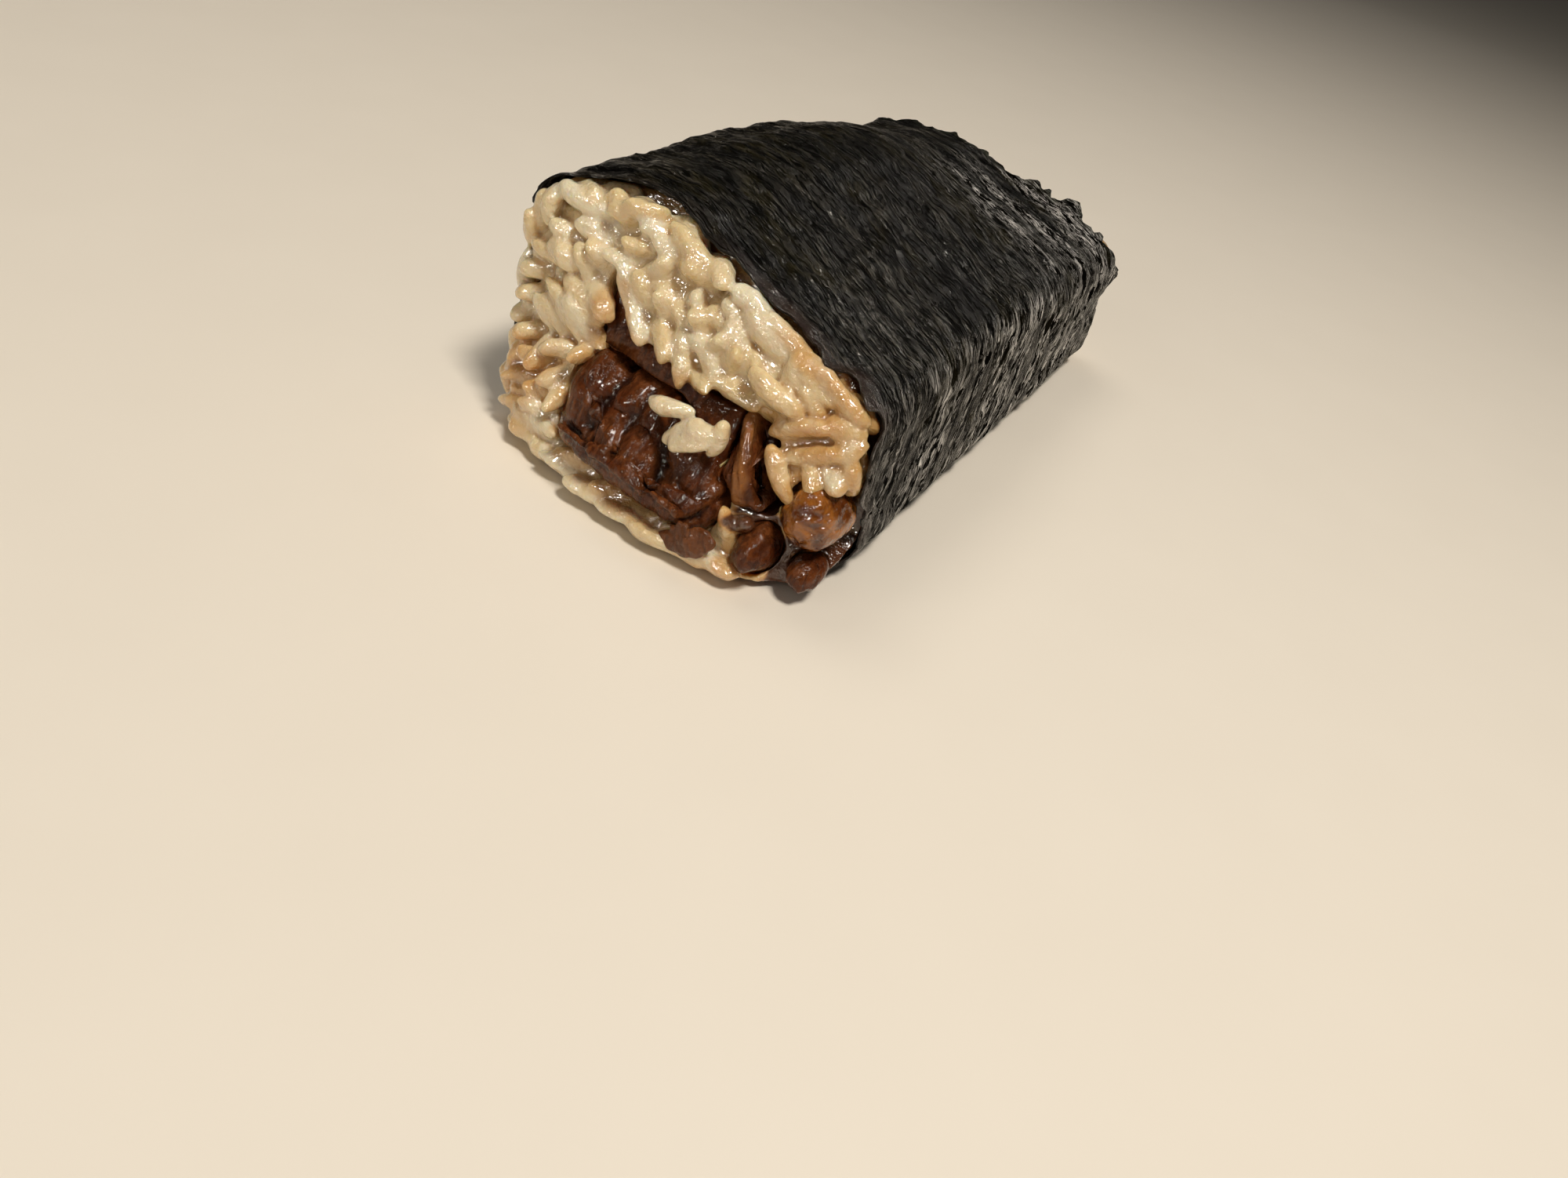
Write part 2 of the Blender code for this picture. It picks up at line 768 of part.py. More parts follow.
def build_channels():
    """The room that the rice leaves for the beef, open at both ends of the block."""
    channels = new_collection("channels")
    made = [
        beef_body("channel", corners, columns, 0.0001, (CUT_PAST, CUT_PAST), GAP)
        for (corners, columns, _), _ in THROUGH_BEEF.values()
    ]
    made += [build_lump("channel", *size, "beef", grow=GAP) for size in LUMPS.values()]
    for cutter in made:
        move_to(cutter, channels)
    return channels


def main():
    clear_scene()
    nori = build_nori()
    beef = build_beef()
    rice = build_rice_core()
    apply_boolean(rice, "DIFFERENCE", build_channels())
    clump = build_clump([*beef, rice])
    add_rice_grains(rice, nori, beef, clump)


main()
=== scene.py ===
import json
import math

import bmesh
import bpy
import numpy as np
from mathutils import Matrix, Vector
from mathutils.kdtree import KDTree

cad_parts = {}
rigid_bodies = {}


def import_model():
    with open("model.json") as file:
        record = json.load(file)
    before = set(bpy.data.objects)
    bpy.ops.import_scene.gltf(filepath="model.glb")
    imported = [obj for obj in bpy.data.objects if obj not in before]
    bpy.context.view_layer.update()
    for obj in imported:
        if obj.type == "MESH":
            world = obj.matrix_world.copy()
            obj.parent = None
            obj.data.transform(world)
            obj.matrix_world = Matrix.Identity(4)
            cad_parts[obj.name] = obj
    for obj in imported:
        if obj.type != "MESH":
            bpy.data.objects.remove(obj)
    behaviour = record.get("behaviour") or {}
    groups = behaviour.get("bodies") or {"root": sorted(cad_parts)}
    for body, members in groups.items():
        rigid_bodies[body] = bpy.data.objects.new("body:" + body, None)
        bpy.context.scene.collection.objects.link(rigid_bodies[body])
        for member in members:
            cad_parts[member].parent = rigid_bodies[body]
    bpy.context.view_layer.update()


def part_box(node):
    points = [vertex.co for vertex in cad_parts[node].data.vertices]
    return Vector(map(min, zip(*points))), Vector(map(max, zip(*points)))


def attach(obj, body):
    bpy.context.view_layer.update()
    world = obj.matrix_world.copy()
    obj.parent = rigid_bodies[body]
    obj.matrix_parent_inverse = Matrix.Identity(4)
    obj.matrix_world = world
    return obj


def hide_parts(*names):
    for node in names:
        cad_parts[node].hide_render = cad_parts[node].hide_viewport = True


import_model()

# Lengths are in millimetres until a mesh is made. X runs across the musubi, Y along
# it with the bulging front end at -Y, and Z up from the table.
MM = 0.001

# The wrap: its length, and its thickness in the solids and here
WRAP_LENGTH = 90.0
HALF_LENGTH = WRAP_LENGTH / 2
SOLID_SHEET = 0.5
SHEET = 0.24
# Where its free edge ends beneath, where it starts under that, and the step it makes
SEAM_X = 12.0
SEAM_UNDER_X = -14.0
SEAM_STEP = 0.4
# Where along Y the block starts to sink, and the share of its height lost at each side
SINK_START = -6.0
LEFT_SINK = 0.185
RIGHT_SINK = 0.125
# The wrap's outline: x, z and radius of each corner
WRAP_CORNERS = [
    (SEAM_X, 0.0, 0.0),
    (-24.8, 0.0, 5.0),
    (-25.2, 30.0, 6.0),
    (-9.3, 34.8, 20.0),
    (24.3, 23.6, 5.5),
    (25.2, SEAM_STEP, 5.0),
    (SEAM_X, SEAM_STEP, 0.0),
]
# The sheet's points round the block and along it, its length round the block, how far
# its two sets of fibres slant, and how far apart the patterns of its two sides lie
NORI_COLUMNS = 290
NORI_ROWS = 168
SHEET_ROUND = 150.0
FIBRE_SLANT = 0.26
CROSS_SLANT = 0.06
INNER_SIDE = (0.0, 0.0, 40.0)

# The block of rice, and the scale of its hidden part, which stays clear of the wrap
BLOCK_HEIGHT = 33.5
BLOCK_CENTRE = np.array((0.0, 15.0))
BLOCK_SHARE = 0.975
# How far its ends stand out of the wrap at least, and how much more where they bulge
FRONT_REACH = (1.0, 12.0)
BACK_REACH = (1.6, 3.0)
# How far its core lies under the face of the grains, and the room left round the beef
CORE_DEPTH = 0.3
GAP = 0.3

# One grain
GRAIN_LENGTH = 8.4
GRAIN_WIDTH = 2.8
GRAIN_THICKNESS = 2.25
# How fine grains are fused, and the most triangles that a piece of rice keeps
VOXEL = 0.22
CLUMP_VOXEL = 0.18
PIECE_LIMIT = 190000
# How far apart grains are spread at each end, with the seed of their places, and how
# near the table they come
FRONT_SPREAD = (2.25, 5)
BACK_SPREAD = (2.5, 11)
LOWEST_GRAIN = 0.7
# Settling: its rounds, how close grains come as a share of touching, how much of an
# overlap one round undoes, and the longest way that a tip moves in it
SETTLE_ROUNDS = 60
CLOSENESS = 0.85
EASE = 0.35
LONGEST_MOVE = 0.5
# The share of a grain's radius that stays clear of the wrap and of the beef, and how
# hard a tip is led back inside the one, off the other and to its depth
WRAP_CLEAR = 0.62
BEEF_CLEAR = 0.7
BACK_INSIDE = 0.5
OFF_BEEF = 0.3
TO_DEPTH = 0.12

# The grains that show best at the front: x and z of their middle, their length,
# their turn in the face and how far their far tip leans into the block, in degrees
SHOWN_GRAINS = [
    (-17.1, 30.2, 8.2, -6, 0),
    (-21.2, 28.2, 5.5, 80, 10),
    (-18.0, 26.3, 5.5, -10, 25),
    (-14.3, 27.7, 6.0, -9, 20),
    (-10.2, 26.6, 5.5, 0, 35),
    (-11.6, 30.9, 5.0, -20, 30),
    (-7.4, 31.0, 4.5, 8, 45),
    (-8.4, 28.8, 6.0, 0, 30),
    (-4.4, 29.6, 6.0, -12, 20),
    (-0.6, 28.6, 5.5, -22, 25),
    (-19.2, 23.1, 7.0, -5, 8),
    (-21.3, 20.4, 5.0, 10, 25),
    (-21.6, 17.2, 5.0, 15, 25),
    (-15.6, 18.1, 9.0, -37, -5),
    (-13.7, 20.2, 7.5, -28, -5),
    (-11.6, 21.2, 6.0, -27, -20),
    (-14.5, 23.8, 6.0, -57, 10),
    (-18.3, 16.4, 6.5, -35, 5),
    (-8.3, 23.9, 6.5, -56, -10),
    (-6.1, 21.2, 6.0, -49, -25),
    (-2.3, 20.8, 6.0, -41, -35),
    (0.7, 20.1, 7.0, -64, -20),
    (3.4, 21.6, 6.0, -30, -10),
    (7.6, 19.8, 8.6, -11, 0),
    (6.7, 24.1, 7.0, -53, 0),
    (9.3, 26.2, 8.2, -26, 0),
    (10.5, 21.9, 7.0, -47, -5),
    (13.8, 22.6, 8.4, -85, 0),
    (16.4, 24.2, 7.0, -36, 5),
    (17.0, 21.6, 6.0, -50, 15),
    (16.4, 18.9, 8.6, 29, 0),
    (18.9, 17.0, 8.0, 29, 0),
    (21.0, 20.9, 5.0, -3, 20),
    (22.1, 18.9, 5.0, 41, 10),
    (16.2, 13.8, 7.5, -50, -5),
    (19.5, 14.9, 5.5, -50, -30),
    (21.8, 15.8, 5.0, -33, -30),
    (6.6, 28.4, 6.5, -20, 5),
    (11.4, 26.9, 7.5, -20, 0),
    (16.4, 25.1, 7.0, -20, 0),
    (20.4, 23.4, 6.0, -32, 5),
    (-21.6, 9.4, 5.5, 70, 20),
    (-20.2, 13.1, 5.5, 13, 35),
    (-18.0, 11.2, 6.0, 7, 20),
    (-15.0, 13.6, 5.5, 8, 30),
    (-19.8, 7.7, 6.5, 17, 15),
    (-16.2, 8.4, 5.5, 5, 40),
    (-19.7, 4.4, 7.1, 22, 5),
    (-15.4, 5.9, 6.0, -12, 20),
    (-15.9, 2.9, 6.8, 8, 5),
    (-9.8, 2.7, 6.0, -8, 12),
    (-4.6, 2.4, 6.5, -5, 5),
    (0.6, 2.3, 6.5, 4, 5),
    (5.6, 2.2, 6.5, -4, 5),
    (10.4, 2.1, 5.5, 3, 5),
    (14.2, 2.1, 5.5, -12, 10),
]
# How far those stand out of the face, and which of them are plain white
SHOWN_LIFT = 0.15
WHITE_GRAINS = (0, 6, 18, 19, 37, 55)

# Beef: the outlines of the slices, x, z and radius of each corner
ROLL = [
    (-12.6, 4.7, 3.0),
    (10.8, 3.7, 3.2),
    (12.6, 9.2, 2.0),
    (2.0, 15.8, 4.0),
    (-12.2, 16.1, 4.0),
]
UPPER_SLICE = [
    (-10.6, 16.5, 0.6),
    (2.0, 16.2, 2.0),
    (9.6, 11.5, 0.4),
    (9.8, 17.6, 1.0),
    (0.0, 18.4, 3.0),
    (-6.8, 19.8, 2.0),
    (-8.6, 24.6, 0.7),
    (-11.0, 24.4, 0.7),
]
SIDE_SLICE = [
    (10.1, 11.2, 0.4),
    (12.9, 9.0, 0.8),
    (17.0, 8.4, 1.2),
    (17.4, 11.2, 1.5),
    (13.6, 18.4, 1.0),
    (10.3, 18.0, 0.9),
]
# The middle of each lump and half its size
LUMPS = {
    "beef_glazed_lump": ((21.2, -49.2, 10.4), (3.75, 4.8, 4.3)),
    "beef_dark_lump": ((16.8, -52.3, 4.6), (2.3, 4.6, 3.0)),
    "beef_small_bit": ((22.5, -50.6, 3.6), (2.0, 3.4, 2.1)),
}
# The grains on the roll: x, how far forward, z, their turn in degrees and their length,
# and how white each one is
CLUMP = [
    (3.3, 0.2, 16.7, 14, 6.0),
    (5.6, 0.5, 14.9, 44, 6.4),
    (6.9, 1.0, 14.7, 30, 6.2),
    (7.8, 0.7, 16.0, 12, 5.4),
    (9.6, 0.2, 15.9, 78, 5.0),
]
CLUMP_TINT = (0.9, 0.5, 0.6, 0.7, 0.3)


# Noise and small helpers


def cell_value(cells, seed):
    """A repeatable random value from -1 to 1 for each whole-number cell."""
    n = cells[:, 0] * 374761393 + cells[:, 1] * 668265263 + cells[:, 2] * 1440662683
    n = (n + seed * 974634777) & 0xFFFFFFFF
    n = ((n ^ (n >> 13)) * 1274126177) & 0xFFFFFFFF
    return (n ^ (n >> 16)) / 0x7FFFFFFF - 1.0


def smooth_noise(points, size, seed):
    """Smooth noise from -1 to 1 with lumps of the given size, which may differ by axis."""
    p = np.asarray(points, float) / size
    cell = np.floor(p).astype(np.int64)
    f = p - cell
    f = f * f * f * (f * (f * 6 - 15) + 10)
    total = np.zeros(len(p))
    for corner in np.ndindex(2, 2, 2):
        share = np.prod(np.where(corner, f, 1 - f), axis=1)
        total += share * cell_value(cell + np.array(corner), seed)
    return total


def layered_noise(points, size, layers, seed):
    """Smooth noise in layers, each half the size and strength of the one before."""
    total, strength = np.zeros(len(points)), 0.5
    for k in range(layers):
        total += strength * smooth_noise(points, np.asarray(size) / 2**k, seed + 17 * k)
        strength /= 2
    return total


def folded_noise(points, size, seed):
    """Noise folded over at its middle, which peaks in narrow crests."""
    return 1 - 2 * np.abs(smooth_noise(points, size, seed))


def ramp(value, low, high):
    """0 below low, 1 above high, and a smooth change between."""
    t = np.clip((value - low) / (high - low), 0.0, 1.0)
    return t * t * (3 - 2 * t)


def unit(v):
    return v / np.maximum(np.linalg.norm(v, axis=-1, keepdims=True), 1e-9)


def spot(flat, centre, size):
    """1 at a place on the end face, fading over the given size across and up."""
    away = (flat - centre) / size
    return np.exp(-(away[:, 0] ** 2 + away[:, 1] ** 2))


def turned(points, c, s):
    """Points turned about Y by the angle with this cosine and sine."""
    return points @ np.array([[c, 0.0, -s], [0.0, 1.0, 0.0], [s, 0.0, c]])


def at_depth(path, y):
    """The points of a flat path, set at y."""
    return np.stack([path[:, 0], np.broadcast_to(y, len(path)), path[:, 1]], axis=1)


def rounded_path(corners, count, closed):
    """Evenly spaced points along a polygon with each corner rounded to its radius."""
    dense = []
    for i, (x, z, radius) in enumerate(corners):
        corner = np.array((x, z))
        if radius == 0.0:
            dense.append(corner)
            continue
        before = unit(np.array(corners[i - 1][:2]) - corner)
        after = unit(np.array(corners[(i + 1) % len(corners)][:2]) - corner)
        half = math.acos(before @ after) / 2
        centre = corner + unit(before + after) * radius / math.sin(half)
        start = corner + before * radius / math.tan(half) - centre
        end = corner + after * radius / math.tan(half) - centre
        for share in np.linspace(0.0, 1.0, 13):
            dense.append(centre + radius * unit(start + (end - start) * share))
    if closed:
        dense.append(dense[0])
    dense = np.array(dense)
    travelled = np.append(0, np.cumsum(np.linalg.norm(np.diff(dense, axis=0), axis=1)))
    goals = np.linspace(0, travelled[-1], count, endpoint=not closed)
    return np.stack([np.interp(goals, travelled, dense[:, k]) for k in (0, 1)], axis=1)


def outward(path, closed):
    """The outward direction at each point of a path that runs clockwise seen from -Y."""
    if closed:
        along = np.roll(path, -1, axis=0) - np.roll(path, 1, axis=0)
    else:
        along = np.gradient(path, axis=0)
    along = unit(along)
    return np.stack([-along[:, 1], along[:, 0]], axis=1)


def crown(x, y):
    """How much of its full height the section keeps as it sinks towards the far end."""
    sink = LEFT_SINK + (RIGHT_SINK - LEFT_SINK) * ramp(x, -4.0, 20.0)
    return 1 - sink * ramp(y, SINK_START, HALF_LENGTH)


def across(x):
    """How far out to the side a point is: -1 and 1 near the block's two walls."""
    return (x - 4.0) / 24.0


def front_reach(x, z):
    """How far the front end stands out, most low down and between the walls."""
    depth = np.clip(1 - z / BLOCK_HEIGHT, 0.0, 1.0) ** 1.2
    return FRONT_REACH[0] + FRONT_REACH[1] * depth * (1 - 0.62 * across(x) ** 2)


def back_reach(x, z):
    """How far the far end stands out, most in its middle."""
    high = (z - 13.0) / 18.0
    bulge = np.maximum(0.0, 1 - 0.7 * across(x) ** 2 - 0.6 * high * high)
    return BACK_REACH[0] + BACK_REACH[1] * bulge


def face_y(x, z, front):
    """Where the rice's end face lies along Y."""
    if front:
        return -HALF_LENGTH - front_reach(x, z)
    return HALF_LENGTH + back_reach(x, z)


def place(path, y):
    """Points of the section, set at y and lowered as the block sinks."""
    y = np.broadcast_to(y, len(path))
    return np.stack([path[:, 0], y, path[:, 1] * crown(path[:, 0], y)], axis=1)


def outline_distance(points, outline):
    """Signed distance of 2-D points to a closed outline, negative inside, and the
    direction that leads outwards."""
    a = outline
    b = np.roll(outline, -1, axis=0)
    edge = b - a
    rel = points[:, None] - a[None]
    share = np.clip((rel * edge).sum(-1) / (edge * edge).sum(-1), 0, 1)
    away = rel - share[..., None] * edge
    gap = np.linalg.norm(away, axis=-1)
    nearest = gap.argmin(1)
    rows = np.arange(len(points))
    px, pz = points[:, :1], points[:, 1:]
    crosses = (a[:, 1] > pz) != (b[:, 1] > pz)
    rise = np.where(edge[:, 1] == 0, 1e-9, edge[:, 1])
    hits = crosses & (px < edge[:, 0] * (pz - a[:, 1]) / rise + a[:, 0])
    inside = hits.sum(1) % 2 == 1
    sign = np.where(inside, -1.0, 1.0)
    return sign * gap[rows, nearest], unit(away[rows, nearest]) * sign[:, None]


# Meshes


def add_object(name, data):
    obj = bpy.data.objects.new(name, data)
    bpy.context.scene.collection.objects.link(obj)
    return obj


def add_mesh(name, points, faces, material, values=None):
    """A mesh object from points in millimetres, with a value per point for its finish."""
    mesh = bpy.data.meshes.new(name)
    mesh.from_pydata((np.asarray(points) * MM).tolist(), [], faces)
    shape = bmesh.new()
    shape.from_mesh(mesh)
    bmesh.ops.recalc_face_normals(shape, faces=shape.faces)
    shape.to_mesh(mesh)
    shape.free()
    mesh.shade_smooth()
    for key, numbers in (values or {}).items():
        set_value(mesh, key, numbers)
    if material:
        mesh.materials.append(material)
    return add_object(name, mesh)


def set_value(mesh, key, numbers):
    numbers = np.asarray(numbers, np.float32)
    if numbers.ndim == 1:
        mesh.attributes.new(key, "FLOAT", "POINT").data.foreach_set("value", numbers)
    else:
        layer = mesh.attributes.new(key, "FLOAT_VECTOR", "POINT")
        layer.data.foreach_set("vector", numbers.ravel())


def read(items, key, width, kind=np.float32):
    flat = np.zeros(len(items) * width, kind)
    items.foreach_get(key, flat)
    return flat.reshape(-1, width)


def read_points(mesh):
    return read(mesh.vertices, "co", 3).astype(float) / MM


def write_points(mesh, points):
    mesh.vertices.foreach_set("co", (points * MM).astype(np.float32).ravel())
    mesh.update()


def read_normals(mesh):
    return read(mesh.vertices, "normal", 3).astype(float)


def blurred(mesh, numbers, rounds):
    """Numbers at a mesh's points, averaged with their neighbours a few times."""
    a, b = read(mesh.edges, "vertices", 2, np.int32).T
    count = np.bincount(a, minlength=len(numbers)) + np.bincount(b, minlength=len(numbers))
    numbers = np.array(numbers, float)
    flat = numbers.reshape(len(numbers), -1)
    for _ in range(rounds):
        total = np.zeros_like(flat)
        for k in range(flat.shape[1]):
            total[:, k] = np.bincount(a, flat[b, k], len(flat))
            total[:, k] += np.bincount(b, flat[a, k], len(flat))
        flat = total / np.maximum(count, 1)[:, None]
    return flat.reshape(numbers.shape)


def hollows(mesh, rounds):
    """How deep each point lies under its smoothed surroundings, in millimetres."""
    points = read_points(mesh)
    return ((blurred(mesh, points, rounds) - points) * read_normals(mesh)).sum(1)


def round_ball(level):
    """Points and faces of a ball of even triangles, one across in radius."""
    shape = bmesh.new()
    bmesh.ops.create_icosphere(shape, subdivisions=level, radius=1.0)
    points = np.array([v.co for v in shape.verts])
    faces = [tuple(v.index for v in f.verts) for f in shape.faces]
    shape.free()
    return points, faces


def quads(a, b, c, d):
    """Faces with four corners, from four equal arrays of point numbers."""
    return np.stack([a, b, c, d], axis=-1).reshape(-1, 4).tolist()


def loft(rings):
    """Points and faces of a closed body through rings of equal counts."""
    rings = np.array(rings)
    levels, count = rings.shape[:2]
    at = np.arange(levels * count).reshape(levels, count)
    beside = np.roll(at, -1, axis=1)
    faces = [at[0].tolist(), at[-1].tolist()]
    faces += quads(at[:-1], beside[:-1], beside[1:], at[1:])
    return rings.reshape(-1, 3), faces


def apply_modifiers(obj):
    bpy.context.view_layer.update()
    graph = bpy.context.evaluated_depsgraph_get()
    made = bpy.data.meshes.new_from_object(obj.evaluated_get(graph))
    obj.modifiers.clear()
    obj.data = made
    obj.data.shade_smooth()


def cut_away(obj, cutters):
    """Takes a collection of bodies out of obj, and removes them."""
    modifier = obj.modifiers.new("channels", "BOOLEAN")
    modifier.operation = "DIFFERENCE"
    modifier.solver = "MANIFOLD"
    modifier.operand_type = "COLLECTION"
    modifier.collection = cutters
    apply_modifiers(obj)
    for other in list(cutters.objects):
        bpy.data.objects.remove(other, do_unlink=True)
    bpy.data.collections.remove(cutters)


def merge(objects, mesh):
    """Puts the meshes of several objects into one."""
    shape = bmesh.new()
    for obj in objects:
        shape.from_mesh(obj.data)
    shape.to_mesh(mesh)
    shape.free()


def join(objects, name):
    """One object from several, at the origin."""
    mesh = bpy.data.meshes.new(name)
    merge(objects, mesh)
    for obj in objects:
        bpy.data.objects.remove(obj, do_unlink=True)
    return add_object(name, mesh)


def dress(obj, material):
    obj.data.materials.clear()
    obj.data.materials.append(material)


# Materials


class Value:
    """A node's output, with arithmetic that adds Math nodes."""

    def __init__(self, finish, socket):
        self.finish = finish
        self.socket = socket

    def math(self, operation, *others):
        settings = {"operation": operation}
        inputs = dict(enumerate((self, *others)))
        return self.finish.node("ShaderNodeMath", settings, inputs)

    def __add__(self, other):
        return self.math("ADD", other)

    def __mul__(self, other):
        return self.math("MULTIPLY", other)

    def __sub__(self, other):
        return self.math("SUBTRACT", other)

    def __rsub__(self, other):
        inputs = {0: other, 1: self}
        return self.finish.node("ShaderNodeMath", {"operation": "SUBTRACT"}, inputs)

    __radd__ = __add__
    __rmul__ = __mul__

    def ridge(self, sharp):
        """1 along the lines where a noise passes its middle, and 0 away from them."""
        return (1 - (self - 0.5).math("ABSOLUTE") * sharp).between(0.0, 1.0)

    def between(self, low, high):
        """0 below low, 1 above high, and a smooth change between."""
        settings = {"interpolation_type": "SMOOTHSTEP"}
        return self.finish.node("ShaderNodeMapRange", settings, {0: self, 1: low, 2: high})


class Finish:
    """A material and its Principled shader, with one method that adds any node."""

    def __init__(self, name, **constants):
        self.material = bpy.data.materials.new(name)
        self.material.use_nodes = True
        self.tree = self.material.node_tree
        self.shader = self.tree.nodes["Principled BSDF"]
        self.wear(**constants)

    def feed(self, node, inputs):
        """Sets or links sockets; a name's underscores stand for spaces."""
        for key, value in inputs.items():
            socket = node.inputs[key.replace("_", " ") if isinstance(key, str) else key]
            if isinstance(value, Value):
                self.tree.links.new(value.socket, socket)
            else:
                socket.default_value = value

    def node(self, kind, settings, inputs, output=0):
        node = self.tree.nodes.new(kind)
        for key, value in settings.items():
            setattr(node, key, value)
        self.feed(node, inputs)
        return Value(self, node.outputs[output])

    def value(self, key, output=2):
        """A number kept at the mesh's points."""
        return self.node("ShaderNodeAttribute", {"attribute_name": key}, {}, output)

    def vector(self, key):
        """A vector kept at the mesh's points."""
        return self.value(key, output=1)

    def place(self):
        return self.node("ShaderNodeTexCoord", {}, {}, output=3)

    def noise(self, vector, scale, detail, rough, twist=0.0):
        """Noise of one scale, or of three, one for each axis."""
        if isinstance(scale, tuple):
            factors = {0: vector, 1: scale}
            vector = self.node("ShaderNodeVectorMath", {"operation": "MULTIPLY"}, factors)
            scale = 1.0
        inputs = {"Vector": vector, "Scale": scale, "Detail": detail}
        inputs |= {"Roughness": rough, "Distortion": twist}
        return self.node("ShaderNodeTexNoise", {}, inputs)

    def mix(self, share, a, b):
        """A colour between a and b."""
        inputs = {0: share, 6: colour4(a), 7: colour4(b)}
        return self.node("ShaderNodeMix", {"data_type": "RGBA"}, inputs, output=2)

    def bump(self, height, distance, strength=1.0):
        inputs = {"Height": height, "Distance": distance, "Strength": strength}
        return self.node("ShaderNodeBump", {}, inputs)

    def wear(self, **sockets):
        """Gives the shader's own sockets what varies over the surface, or a constant."""
        self.feed(self.shader, sockets)
        return self.material

    def over(self, share, **sockets):
        """Lets a second surface through where share is high."""
        first = Value(self, self.shader.outputs[0])
        second = self.node("ShaderNodeBsdfPrincipled", {}, sockets)
        inputs = {0: share.math("MINIMUM", 1.0), 1: first, 2: second}
        mixed = self.node("ShaderNodeMixShader", {}, inputs)
        self.feed(self.tree.nodes["Material Output"], {"Surface": mixed})
        return self.material


def colour4(colour):
    return colour if isinstance(colour, Value) else (*colour, 1.0)


NORI_DARK = (0.0015, 0.0012, 0.0008)
NORI_FIBRE_AND_GLINT = (0.052, 0.044, 0.030)
NORI_PAINTED_SHEEN = (0.78, 0.74, 0.68)
NORI_OLIVE = (0.028, 0.021, 0.005)
NORI_WET = (0.042, 0.012, 0.005)
NORI_THIN = (0.030, 0.036, 0.012)
FILM_DARK = (0.0012, 0.0010, 0.0007)
FILM_OLIVE = (0.009, 0.007, 0.002)


def nori_finish():
    """Roasted seaweed: shiny near-black fibres over a darker film broken by matt pits, with
    fibres painted lighter, partly as painted glints, and a pale sheen painted on in places.
    """
    f = Finish("nori_sheet", IOR=1.6, Specular_IOR_Level=0.7)
    sheet, crossed = f.vector("sheet"), f.vector("crossed")
    hairs = f.noise(sheet, (0.14, 0.85, 1.0), 4.0, 0.70, 1.2)
    others = f.noise(crossed, (0.12, 1.2, 1.0), 3.0, 0.6, 1.5).ridge(7.0)
    fine = f.noise(sheet, (0.5, 3.0, 1.0), 3.0, 0.6, 1.0)
    blisters = f.noise(sheet, (0.26, 0.55, 1.0), 4.0, 0.6, 0.6)
    patches = f.noise(sheet, 0.07, 3.0, 0.55, 0.5)
    bands = f.noise(sheet, (0.05, 0.22, 1.0), 2.0, 0.5, 0.5).between(0.42, 0.60)
    pits = f.noise(sheet, (0.36, 0.8, 1.0), 3.0, 0.65, 0.7)
    wet, thin, painted_sheen = f.value("wet"), f.value("thin"), f.value("painted_sheen")
    # Where the sheen is painted, the fibres also spread wider and the pits grow
    combed = (hairs + painted_sheen * 0.05).between(0.47, 0.58)
    combed = combed * (0.2 + fine.between(0.40, 0.58) * 0.8)
    loose = others * fine.between(0.44, 0.60)
    strand = combed.math("MAXIMUM", loose)
    pit = (pits + painted_sheen * 0.03).between(0.54, 0.59)
    # Painted sheen: off the pits, fibres turn pale grey in place of reflected light
    painted_sheen_share = painted_sheen * (1 - pit)
    # Fibres painted lighter in bands: partly their own tone, partly a painted glint standing in
    # for their shine
    colour = f.mix(strand * (0.15 + bands * 0.85), NORI_DARK, NORI_FIBRE_AND_GLINT)
    colour = f.mix(painted_sheen_share * strand, colour, NORI_PAINTED_SHEEN)
    olive = patches.between(0.50, 0.62) * blisters.between(0.44, 0.6)
    colour = f.mix(olive * 0.8, colour, NORI_OLIVE)
    colour = f.mix(wet * 0.6, colour, NORI_WET)
    colour = f.mix(thin * 0.6, colour, NORI_THIN)
    normal = f.bump(strand * 0.45 + fine * 0.3 + blisters * 0.7 - pit * 0.5, 0.00020)
    f.wear(Base_Color=colour, Roughness=0.15 - wet * 0.05, Normal=normal)
    film = ((1 - strand) * (0.97 - wet * 0.5) + pit * painted_sheen).math("MAXIMUM", 0.0)
    return f.over(
        film,
        IOR=1.12,
        Specular_IOR_Level=0.08,
        Base_Color=f.mix(olive * 0.5, FILM_DARK, FILM_OLIVE),
        Roughness=0.34 + pit * 0.5,
        Normal=f.bump(fine * 0.5 + blisters * 0.8 - pit * 0.5, 0.00022),
    )


RICE_CREAM = (0.75, 0.58, 0.33)
RICE_WHITE = (0.82, 0.73, 0.54)
RICE_CLOUD = (0.72, 0.57, 0.35)
RICE_STAIN = (0.60, 0.33, 0.10)
RICE_SOAKED = (0.44, 0.17, 0.04)
RICE_PAINTED_SHADE = (0.10, 0.035, 0.014)
RICE_PAINTED_HOLLOW_SHADE = (0.60, 0.38, 0.16)
RICE_PAINTED_CREASE_SHADE = (0.46, 0.27, 0.11)


